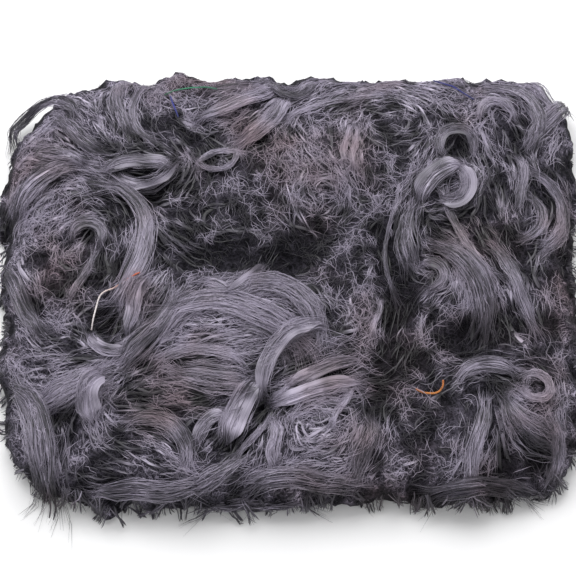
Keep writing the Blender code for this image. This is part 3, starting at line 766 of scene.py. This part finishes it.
def walk(x, y, heading, length, sections, follow, curl):
    """Runs from many roots: each step goes on along the heading, which turns by a share of the way to the
    fibre's direction, and by the run's own curl, which swings slowly from one side to the other."""
    step = length / (sections - 1)
    places = [np.stack([x, y], axis=-1)]
    phase = random.uniform(0, math.tau, len(x))
    swing = random.uniform(0.5, 1.6, len(x))
    for n in range(1, sections):
        pull = direction(x, y, heading) - heading
        bend = curl * np.cos(phase + swing * math.tau * n / sections)
        heading = heading + follow * pull + bend * step / (10 * MM)
        x, y = x + step * np.cos(heading), y + step * np.sin(heading)
        places.append(np.stack([x, y], axis=-1))
    return np.stack(places, axis=1)


def roots(count, shun, lost=0.8):
    """Scattered places on the bed, many on the mounds and few in hollows and gaps: shun is how deep a hollow
    halves their number, and lost is the share that gaps lose."""
    found = np.empty((0, 2))
    while len(found) < count:
        place = random.uniform((-0.2, -0.16), (0.2, 0.16), (4 * count, 2))
        keep = np.hypot(*place.T) < rim_at(np.arctan2(place[:, 1], place[:, 0])) * ROOT_REACH
        keep &= random.uniform(size=len(place)) < 0.5 ** (read(hollow, *place.T) / shun)
        keep &= random.uniform(size=len(place)) > lost * read(gap, *place.T)
        keep &= random.uniform(size=len(place)) < 0.5 + 0.5 * read(mound, *place.T)
        keep &= random.uniform(size=len(place)) < 0.75 + 0.5 * read(mottle, *place.T)
        found = np.concatenate([found, place[keep]])
    return found[:count]


def fan_out(runs, each, spread, scatter, wave, wave_length):
    """The filaments of each wisp: its run, turned about its middle by the filament's own scatter, + side *
    (own offset * spread that opens along the run + own wave)."""
    sections = runs.shape[1]
    runs = np.repeat(runs, each, axis=0)
    count = len(runs)
    middle = runs[:, sections // 2, None]
    turn = np.exp(1j * scatter * random.normal(0, 1, (count, 1)))
    spoke = (runs - middle)[..., 0] + 1j * (runs - middle)[..., 1]
    runs = middle + np.stack([(spoke * turn).real, (spoke * turn).imag], axis=-1)
    ahead = unit(np.gradient(runs, axis=1))
    side = np.stack([-ahead[..., 1], ahead[..., 0]], axis=-1)
    share = np.linspace(0, 1, sections)
    offset = random.normal(0, 1, (count, 1)) * spread
    opening = random.choice([-1.0, 1.0], (count // each, 1)).repeat(each, axis=0)
    opening = 0.35 + 0.65 * (0.5 + 0.5 * opening * (2 * share - 1))
    length = np.linalg.norm(np.diff(runs, axis=1), axis=-1).sum(axis=1, keepdims=True)
    turns = length * share / wave_length / random.uniform(0.6, 1.6, (count, 1))
    size = wave * random.normal(0, 1, (count, 1))
    waves = size * np.sin(math.tau * turns + random.uniform(0, 9, (count, 1)))
    return runs + side * (offset * opening + waves)[..., None]


def ease(share, reach):
    """Nought at both ends of a run, and one from that share of its length inwards."""
    return np.sin(np.clip(np.minimum(share, 1 - share) / reach, 0, 1) * math.pi / 2)


def tapered(sections, width, tip=0.3):
    """Half widths that narrow to both ends."""
    return width[:, None] / 2 * (tip + (1 - tip) * ease(np.linspace(0, 1, sections), 0.2))


# %% [markdown]
# The wisps make most of the heap. They come in layers: a dark one close to the core, which also lies in the
# gaps, two paler ones of frizz on it, and last the flyaway filaments that cross everything. The lower a layer
# lies, the darker its tone is painted, as painted shade under the fibre above. Where a wisp runs out over the
# rim it hangs down the side.

# %% Wisps
# Each layer has two rows. The first: name, wisps, filaments in each, sections, length (mm), width (mm),
# height over the ground (mm), arch (mm). The second: tone, follow, curl, spread (mm), scatter (radians), wave
# (mm), share over the locks, share that gaps lose, least tone.
# The tone column rises from the deep layer to the flyaway one: painted shade low down, painted light on top.
WISPS = (
    (
        ("deep_wisps", 330, 5, 7, (8, 20), (0.35, 0.6), (-2.0, -0.3), 0.8),
        (0.5, 0.3, 0.8, 2.6, 0.35, 0.6, 0.0, 0.0, 0.4),
    ),
    (
        ("frizz_one", 1700, 3, 7, (7, 16), (0.3, 0.42), (-0.6, 0.8), 1.3),
        (1.2, 0.15, 1.5, 2.2, 0.6, 0.35, 0.25, 0.8, 0.1),
    ),
    (
        ("frizz_two", 1700, 3, 7, (7, 16), (0.27, 0.38), (0.2, 1.5), 1.6),
        (1.9, 0.12, 1.6, 2.4, 0.7, 0.4, 0.55, 0.8, 0.1),
    ),
    (
        ("flyaway", 700, 2, 8, (9, 24), (0.26, 0.34), (0.8, 2.4), 2.0),
        (2.4, 0.1, 1.5, 2.6, 0.5, 0.5, 0.6, 0.7, 0.1),
    ),
)
SHUN = 1.3 * MM  # a hollow this deep halves the number of roots
DIVE = 0.5  # share of its arch by which a filament's ends dive
HANG = 0.8  # share of what lies outside the rim that becomes drop
SWAY_LENGTH = 7 * MM
STRAND_TONES = (0.6, 0.85, 1.35)


def pick(limits, count):
    """Even random values between two limits."""
    return random.uniform(limits[0], limits[1], count)


def ground_at(x, y, over):
    """Level on which fibre lies: between the bed and its smooth level, or over the locks, and down to the
    table outside the rim."""
    inside = np.clip((1.0 - np.hypot(x, y) / rim_at(np.arctan2(y, x))) / 0.03, 0, 1)
    low = 0.65 * read(soft_bed, x, y) + 0.35 * read(level, x, y)
    return np.where(over, read(crest, x, y), low) * (0.5 + 0.5 * inside)


def hung(plan, z):
    """Fibre that runs out over the rim hangs down the side instead: most of what is outside becomes drop."""
    reach = np.hypot(plan[..., 0], plan[..., 1])
    drop = HANG * np.clip(reach - rim_at(np.arctan2(plan[..., 1], plan[..., 0])), 0, None)
    inward = plan * (1 - drop / np.maximum(reach, MM))[..., None]
    return np.concatenate([inward, np.maximum(z - drop, 0.6 * MM)[..., None]], axis=-1)


def wisp_layer(shape, manner):
    """One layer: height = ground under the filament + its own height + an arch that falls at both ends. A
    filament takes the tone of its place, with the painted light and shade of the relief, and is painted
    darker towards its ends, where it dives under other fibre, as painted shade. Where the fibre is combed it
    curls and scatters less."""
    name, wisps, each, sections, length, width, height, arch = shape
    tone, follow, curl, spread, scatter, wave, top, lost, least = manner
    root = roots(wisps, SHUN if lost else 2 * SHUN, lost)
    loose = 1 - 0.75 * read(combed_share, *root.T)
    bend = curl * loose * random.normal(0, 1, wisps)
    heading = direction(*root.T, random.uniform(0, math.tau, wisps)) + loose * random.normal(0, 0.9, wisps)
    runs = walk(*root.T, heading, pick(length, wisps) * MM, sections, follow, bend)
    plan = fan_out(runs, each, spread * MM, scatter * loose.repeat(each)[:, None], wave * MM, SWAY_LENGTH)
    count = len(plan)
    hump = np.sin(math.pi * np.linspace(0, 1, sections))
    own = pick(height, wisps).repeat(each)[:, None] + random.normal(0, 0.3, (count, 1))
    rise = arch * random.uniform(0.2, 1.0, (count, 1)) * (hump - DIVE)
    x, y = plan[..., 0], plan[..., 1]
    over = (random.uniform(size=wisps) < top).repeat(each)[:, None]
    paths = hung(plan, ground_at(x, y, over) + (own + rise) * MM)
    half = tapered(sections, pick(width, count) * MM)
    shade = random.normal(1, 0.2, wisps).repeat(each) * random.choice(STRAND_TONES, count)
    # Painted light and shade from the place's tone, and painted shade where the filament dives at its ends.
    shade = tone * (least + read(pale, x, y)) * shade[:, None] * (0.65 + 0.35 * hump)
    piece = add_lofts(name, loft(paths, half, half, THREE), tone=np.clip(shade, 0, 1))
    finish_piece(piece, STRAND_SILK)


for shape, manner in WISPS:
    wisp_layer(shape, manner)

# %% [markdown]
# Between the core and the loose wisps lie small flat tufts, each a few millimetres of filaments side by side
# that cling together. They're thin closed bands with the combed finish, and give the mounds their satin look.

# %% Tufts
TUFTS = 2600
TUFT_SECTIONS = 9
TUFT_LENGTH = (9, 26)  # mm
TUFT_WIDTH = (0.5, 2.4)  # mm
TUFT_PROFILE = np.array([[1, -0.4], [0, 0.6], [-1, -0.4]])


def combed_lofts(name, paths, half, lift, profile, roll, tone, length, apart=37.0):
    """Bands as one piece, with the across and along values, in mm, that the combed finish reads. They are set
    apart from band to band, so that no two bands show the same lines."""
    number = np.arange(len(paths))[:, None, None]
    along = np.linspace(0, 1, paths.shape[1])[:, None] * length + apart * number
    across = half[..., None] / MM * profile[:, 0] + 5.0 * number
    points = loft(paths, half, lift, profile, roll)
    return add_lofts(name, points, True, tone=tone, across=across, along=along)


def tufts():
    """Bands that follow the fibre's direction, lie on the ground and lean a little to one side."""
    root = roots(3 * TUFTS, SHUN)
    root = root[random.uniform(size=len(root)) < 0.12 + 0.88 * read(combed_share, *root.T)][:TUFTS]
    heading = direction(*root.T, random.uniform(0, math.tau, TUFTS)) + random.normal(0, 0.3, TUFTS)
    length = pick(TUFT_LENGTH, TUFTS) * MM
    plan = walk(*root.T, heading, length, TUFT_SECTIONS, 0.35, 0.6 * random.normal(0, 1, TUFTS))
    x, y = plan[..., 0], plan[..., 1]
    share = np.linspace(0, 1, TUFT_SECTIONS)
    hump = np.sin(math.pi * share)
    own = pick((-1.4, 0.3), TUFTS)[:, None] + random.uniform(0.6, 2.0, (TUFTS, 1)) * (hump - 0.6)
    paths = hung(plan, ground_at(x, y, False) + own * MM)
    width = random.gamma(3.0, 0.3, TUFTS).clip(*TUFT_WIDTH) * MM
    half = tapered(TUFT_SECTIONS, width, 0.08)
    roll = random.normal(0, 0.3, (TUFTS, 1)) + random.normal(0, 0.5, (TUFTS, 1)) * (share - 0.5)
    # Painted light and shade: the tone of the place, and painted darker towards both ends, where the tuft
    # dives.
    tone = 0.8 * (0.08 + read(pale, x, y)) * random.normal(1, 0.2, (TUFTS, 1)) * (0.5 + 0.5 * hump)
    tone, length = np.clip(tone, 0, 1), (length / MM)[:, None, None]
    return combed_lofts("tufts", paths, half, half * 0.3, TUFT_PROFILE, roll, tone, length, 7.0)


finish_piece(tufts(), LOCK_SILK)

# %% [markdown]
# Where more filaments keep together they make a lock, flat and satiny. A lock that keeps its shape is one
# band with a few shreds on it; one that frays is all shreds, narrow bands that begin and end at places of
# their own. Single strands lie over both, and run on past the ends. The fine lines along the bands come from
# their finish.

# %% Locks
SECTIONS = {"band": 24, "shred": 14, "strand": 9}
STRANDS = 20
STRANDS_FRAYED = 21  # more strands where the lock frays
STRAND_WIDTH = (0.26, 0.4)  # mm
STRAND_SHINES = (0.7, 1.0, 1.35)
SHREDS_PER_MM = 2.0
SHRED_HALF = (0.25, 0.65)  # mm
RUN_ON = 0.03  # share of its length by which a lock's parts run on at each end
RUN_ON_FRAYED = 0.12  # more of it where the lock frays
SINK_WITHIN = 5 * MM  # length in which what runs on comes down to the bed
THIN_LIFT = 1.6 * MM
BAND = np.array(
    [[1, 0], [0.75, 0.5], [0.3, 0.62], [-0.25, 0.5], [-0.7, 0.55], [-1, 0], [-0.4, -0.6], [0.4, -0.6]]
)
WHOLE = 0.65  # a lock that frays less than this keeps its shape, and one that frays more is shredded
# Thinner locks that lie on the bed: start, middle, end (mm), width (mm), shine (painted light)
THIN_LOCKS = (
    ((40, 99), (37, 87), (36, 76), 3, 0.9),
    ((45, 97), (43, 85), (42, 72), 3, 0.8),
    ((4, 110), (32, 122), (57, 127), 2.5, 0.8),
    ((-32, 82), (-48, 84), (-58, 77), 2.5, 0.9),
    ((-58, 77), (-50, 71), (-33, 81), 2.5, 0.9),
    ((-97, 136), (-103, 118), (-92, 96), 4, 0.6),
    ((-48, 130), (-31, 134), (-18, 141), 5, 0.6),
    ((163, 141), (171, 127), (176, 118), 8, 0.6),
    ((158, 52), (163, 42), (152, 24), 5, 0.7),
    ((-123, 10), (-127, 1), (-136, -15), 3.5, 0.7),
    ((99, 52), (106, 31), (127, -3), 3.5, 0.7),
    ((58, -20), (55, -31), (53, -39), 3, 0.8),
    ((70, 46), (62, 20), (67, -8), 1.6, 0.6),
    ((38, -78), (34, -85), (27, -99), 3, 0.8),
    ((0, -76), (-5, -81), (-10, -84), 3.5, 0.9),
    ((-12, -97), (-20, -106), (-29, -116), 2.5, 0.8),
    ((-50, -144), (-20, -142), (10, -141), 7, 0.6),
    ((-76, -58), (-52, -53), (-30, -60), 6, 0.85),
    ((-52, -8), (-40, -14), (-26, -26), 5, 0.7),
    ((-24, -42), (-12, -46), (-2, -58), 5, 0.65),
)


def on_solid(name, plan, left, half, shares):
    """Height of a lock's solid along its middle, and its roll, from how much higher its left edge lies."""
    tree = tree_of(name)
    heights = []
    for side in (0.0, 0.35, -0.35):
        z = tops(tree, plan + left * (half * side)[:, None])
        known = ~np.isnan(z)
        heights.append(np.interp(shares, shares[known], z[known]))
    z, z_left, z_right = heights
    return z, np.arctan2(z_left - z_right, 0.7 * half)


def left_of(plan):
    """Unit plan vectors to the left of a path."""
    ahead = unit(np.gradient(plan, axis=0))
    return np.stack([-ahead[:, 1], ahead[:, 0]], axis=-1)


made = {kind: [] for kind in SECTIONS}


def lay(kind, row, wave, run, length, painted_shine, fray):
    """One band, shred or strand of a lock. It keeps its own share of the lock's width, swings about it, and
    begins and ends at shares of its own along the lock. Beyond the lock's ends it splays and sinks."""
    whole, strand = kind == "band", kind == "strand"
    more = (RUN_ON + RUN_ON_FRAYED * fray) * random.uniform(0.2, 1.4, 2) * (1 if whole else 1.5)
    if kind == "shred":
        more = more - random.uniform(0, 0.3, 2) * (random.uniform(size=2) < 0.6)
    far = np.linspace(-more[0], 1 + more[1], SECTIONS[kind])
    held = np.clip(far, 0, 1)
    beyond = np.abs(far - held) * length
    full, z, lean, roll = (np.interp(held, np.linspace(0, 1, len(v)), v) for v in run)
    offset = 0.0 if whole else random.uniform(-1, 1) * (1.1 + 0.3 * fray if strand else 0.95)
    offset = offset + (0.0 if whole else random.normal(0, 0.3)) * (far - 0.5)
    crown = np.sqrt(1 - np.clip(np.abs(offset), 0, 1) ** 2)
    swing = random.normal(0, 0.35) * MM * np.sin(far * random.uniform(3, 8) + random.uniform(0, 6))
    if strand:
        ripple = far * length / (2 * MM) * random.uniform(0.4, 1)
        swing = swing + random.normal(0, 0.25 + 0.4 * fray) * MM * np.sin(ripple + random.uniform(0, 6))
    splay = beyond * (0.3 * offset + random.normal(0, 0.25))
    line = arc(*row, far, wave)
    line = line + left_of(line) * (full * offset + splay + swing)[:, None]
    base = z + lean * offset - (1.0 - 0.7 * crown) * MM
    ground = read(soft_bed, *line.T) + 0.3 * MM
    fade = np.clip(beyond / SINK_WITHIN, 0, 1)
    height = base * (1 - fade) + ground * fade
    share = np.linspace(0, 1, len(far))
    if strand:
        height = height + random.uniform(0.1, 0.7) * MM
        half = tapered(len(far), np.array([random.uniform(*STRAND_WIDTH)]) * MM, 0.2)[0]
        tone = painted_shine * random.choice(STRAND_SHINES) + random.normal(0, 0.1)
    else:
        dip = np.clip(1 - np.minimum(share, 1 - share) / 0.12, 0, 1) * 1.2
        height = height - (0.3 + 0.3 * fray + dip - random.normal(0.2, 0.25) * (not whole)) * MM
        half = full * 1.04 if whole else random.uniform(*SHRED_HALF) * MM
        half = half * (0.15 + 0.85 * ease(share, 0.22))
        tone = painted_shine * (0.8 if whole else 0.84) + random.normal(0, 0.04 if whole else 0.17)
    # The lock's painted shine is scaled by the painted light and shade of the relief under it.
    tone = np.clip(tone * (0.72 + 0.6 * read(pale, *line.T)), 0.05, 1)
    path = np.concatenate([line, height[:, None]], axis=1)
    made[kind].append((path, half, roll - 0.35 * offset, tone, length))


def dress(row, width, fan, wave, painted_shine, fray, solid):
    """All that makes one lock. Its run is told by four values along it: half its width, its height, how much
    its left edge lies higher, and its roll."""
    inner = np.linspace(0, 1, SECTIONS["band"])
    plan = arc(*row, inner, wave)
    half = width * MM / 2 * (1 + fan * (inner - 0.5))
    if solid is None:
        z, roll = read(soft_bed, *plan.T) + THIN_LIFT, 0 * inner
    else:
        z, roll = on_solid(solid, plan, left_of(plan), half, inner)
    length = np.linalg.norm(np.diff(plan, axis=0), axis=1).sum()
    full = half * (0.55 + 0.45 * ease(inner, 0.2))
    twist = random.normal(0, 0.22) * (inner - 0.5) + random.normal(0, 0.12)
    run = (full, z, np.tan(roll) * full, roll + twist)
    kinds = ["band"] + ["shred"] * 4
    if fray >= WHOLE:
        kinds = ["shred"] * max(6, round(width * SHREDS_PER_MM / fray))
    for kind in kinds + ["strand"] * round(STRANDS + STRANDS_FRAYED * fray):
        lay(kind, row, wave, run, length, painted_shine, fray)


for name, *row, width, fan, wave, painted_shine, fray in LOCKS:
    dress(row, width, fan, wave, painted_shine, fray, "lock_" + name)
for *row, width, painted_shine in THIN_LOCKS:
    dress(row, width, 0.0, 0.6, painted_shine, 1.0, None)

# %% Bands, shreds and filaments of the locks
def combed_piece(name, kind, profile, thick):
    """The bands or the shreds of all locks as one piece."""
    path, half, roll, tone, length = (np.array(values) for values in zip(*made[kind]))
    lift = np.clip(half * thick, 0.12 * MM, 0.7 * MM)
    return combed_lofts(name, path, half, lift, profile, roll, tone, (length / MM)[:, None, None])


whole = ["lock_" + row[0] for row in LOCKS if row[8] < WHOLE]
shredded = ["lock_" + row[0] for row in LOCKS if row[8] >= WHOLE]
finish_piece(combed_piece("combed_locks", "band", BAND, 0.17), LOCK_SILK, whole)
finish_piece(combed_piece("frayed_locks", "shred", TUFT_PROFILE, 0.4), LOCK_SILK, shredded)
path, half, _, tone, _ = (np.array(values) for values in zip(*made["strand"]))
finish_piece(add_lofts("lock_filaments", loft(path, half, half, THREE), tone=tone), STRAND_SILK)

# %% [markdown]
# The rim: silk has no cut edge, so small locks and wisps stand out all round the heap, droop, and lie on the
# table.

# %% Rim wisps
RIM_LOCKS = 320
RIM_SHREDS = 3
RIM_HAIRS = 4
RIM_SECTIONS = 7
RIM_LENGTH = (8, 19)  # mm
RIM_HEIGHT = (2, 24)  # mm, at the root
RIM_ROOT = 5 * MM


def rim_runs():
    """Runs of the rim's locks, rooted in the side of the heap, low or high, but short and low on the far
    side. Height falls from the root to the table along the run, and never below it."""
    turn = np.sort(random.uniform(0, math.tau, RIM_LOCKS))
    out = np.stack([np.cos(turn), np.sin(turn)], axis=-1)
    root = out * (rim_at(turn) - RIM_ROOT)[:, None]
    ahead = np.stack([np.cos(turn + 0.02), np.sin(turn + 0.02)], axis=-1) * rim_at(turn + 0.02)[:, None]
    tangent = unit(ahead - out * rim_at(turn)[:, None])
    heading = np.arctan2(-tangent[:, 0], tangent[:, 1]) + random.normal(0, 0.5, RIM_LOCKS)
    behind = np.clip(1.4 * np.sin(turn), 0, 1)
    step = pick(RIM_LENGTH, RIM_LOCKS) * (1 - 0.5 * behind) * MM / (RIM_SECTIONS - 1)
    curl = random.normal(0, 0.08, RIM_LOCKS)
    x, y, z = [root[:, 0]], [root[:, 1]], [pick(RIM_HEIGHT, RIM_LOCKS) * (1 - 0.7 * behind) * MM]
    slope = random.uniform(-0.6, 0.1, RIM_LOCKS)
    for n in range(1, RIM_SECTIONS):
        heading = heading + curl
        slope = slope - 0.2
        flat = np.cos(np.arctan(slope))
        x.append(x[-1] + step * flat * np.cos(heading))
        y.append(y[-1] + step * flat * np.sin(heading))
        z.append(np.maximum(z[-1] + step * flat * slope, 0.8 * MM))
    return np.stack([np.stack(x, 1), np.stack(y, 1)], axis=-1), np.stack(z, 1)


def rim_piece(name, each, spread, lift, width, thick=None):
    """Shreds that share the rim's runs, or hairs where no thickness is given."""
    plan = fan_out(rim_plan, each, spread * MM, 0.25, 0.4 * MM, 8 * MM)
    count = len(plan)
    height = np.repeat(rim_height, each, axis=0) + np.abs(random.normal(0, lift * MM, (count, 1)))
    paths = np.concatenate([plan, height[..., None]], axis=-1)
    half = tapered(RIM_SECTIONS, pick(width, count) * MM, 0.15)
    tone = random.normal(0.42, 0.12, (count, 1)) * random.choice((0.7, 1.0, 1.4), (count, 1))
    tone = np.clip(tone * (1 - 0.4 * np.linspace(0, 1, RIM_SECTIONS)), 0, 1)
    roll = random.normal(0, 0.4, (count, 1))
    if thick is None:
        return add_lofts(name, loft(paths, half, half, THREE, roll), tone=tone)
    return combed_lofts(name, paths, half, half * thick, TUFT_PROFILE, roll, tone, 15.0)


rim_plan, rim_height = rim_runs()
rim_locks = rim_piece("rim_locks", RIM_SHREDS, 2.4, 1.5, (0.45, 1.3), 0.35)
finish_piece(rim_locks, LOCK_SILK)
finish_piece(rim_piece("rim_wisps", RIM_HAIRS, 2.8, 2.0, (0.3, 0.45)), STRAND_SILK)

# %% [markdown]
# Five ends of sewing thread are caught in the silk. Each is two plies twisted round one another, so it is
# made as two thin lofts on one path, half a turn apart.

# %% Sewing thread
# node, path (mm), thickness (mm), slot, colours along it
THREADS = (
    (
        "thread_orange",
        ((78, -77), (83, -79.5), (89, -80), (93, -78), (95, -74), (95, -71)),
        1.4, "thread_orange", ("a8622f", "c98243", "c27a3c", "b56a35"),
    ),
    (
        "thread_white",
        (
            (-92, -5), (-101, -9), (-110, -13.5), (-114, -13), (-118, -16), (-120, -24), (-121.5, -32),
            (-122, -39),
        ),
        1.3, "thread_white", ("b8593a", "c06a4c", "d8c4c0", "e2dada", "e2dada", "9a8f92"),
    ),
    (
        "thread_green",
        ((-82, 127), (-76, 131), (-66, 134), (-55, 133), (-47, 130)),
        1.1, "thread_green", ("3c5a4a", "3f8f6c", "3c6c58"),
    ),
    (
        "thread_blue_left",
        ((-78, 126), (-76.5, 121), (-75, 117), (-73, 112), (-72, 109)),
        1.1, "thread_blue", ("2c2f72", "3a3f96", "2c2f60"),
    ),
    (
        "thread_blue_right",
        ((96, 136), (103, 133), (109, 130), (116, 124), (122, 119)),
        1.1, "thread_blue", ("34346a", "3a3c86", "30305c"),
    ),
)
THREAD_SECTIONS = 60
THREAD_LAY = 2.6 * MM  # length of one turn of the plies
SIX = np.array([[math.cos(k * math.tau / 6), math.sin(k * math.tau / 6)] for k in range(6)])


def spun_thread(name, colours):
    """Spun polyester: matt, its colour changing along its length."""
    material, tree, shader = new_finish(name, 0.55, 1.5, 0.2)
    along = add_node(tree, "ShaderNodeAttribute", {"attribute_name": "along"}).outputs["Fac"]
    stops = [(n / (len(colours) - 1), linear(code)) for n, code in enumerate(colours)]
    tree.links.new(ramp(tree, along, *stops), shader.inputs["Base Color"])
    return material


def through(points, shares):
    """Plan points along a smooth path near the named points."""
    knots = np.array(points) * MM
    reach = np.concatenate([[0], np.cumsum(np.linalg.norm(np.diff(knots, axis=0), axis=1))])
    path = np.stack([np.interp(shares * reach[-1], reach, knots[:, k]) for k in (0, 1)], axis=-1)
    for _ in range(12):
        path[1:-1] = (path[:-2] + 2 * path[1:-1] + path[2:]) / 4
    return path


for name, points, thickness, slot, colours in THREADS:
    shares = np.linspace(0, 1, THREAD_SECTIONS)
    plan = through(points, shares)
    z = tops(tree_of(name), plan)
    known = ~np.isnan(z)
    z = np.interp(shares, shares[known], z[known]) - thickness * MM / 2
    path = np.concatenate([plan, z[:, None]], axis=1)
    length = np.linalg.norm(np.diff(path, axis=0), axis=1).sum()
    ahead = unit(np.gradient(path, axis=0))
    side = unit(np.cross(ahead, UP))
    lift = np.cross(side, ahead)
    plies = []
    for ply in (0, math.pi):
        turn = (math.tau * shares * length / THREAD_LAY + ply)[:, None]
        plies.append(path + (side * np.cos(turn) + lift * np.sin(turn)) * thickness * MM / 4)
    half = np.full((2, THREAD_SECTIONS), thickness * MM / 3.6)
    half[:, [0, -1]] *= 0.4
    along = np.broadcast_to(shares, (2, THREAD_SECTIONS))
    piece = add_lofts(name + "_plies", loft(np.stack(plies), half, half, SIX), along=along)
    finish_piece(piece, spun_thread("spun " + name.replace("_", " "), colours), [name])

# %% [markdown]
# The table is a plain pale floor. It isn't part of the heap, so it is marked as stage.

# %% Floor
FLOOR = linear("f4f4f5")
floor_mesh = bpy.data.meshes.new("floor")
floor_mesh.from_pydata([(-4, -4, 0), (4, -4, 0), (4, 4, 0), (-4, 4, 0)], [], [(0, 1, 2, 3)])
floor = put("floor", floor_mesh)
paint, _, shader = new_finish("pale table", 0.8, 1.5)
shader.inputs["Base Color"].default_value = FLOOR
floor_mesh.materials.append(paint)
floor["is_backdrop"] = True

# %% Sizes, and the end
low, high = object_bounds()
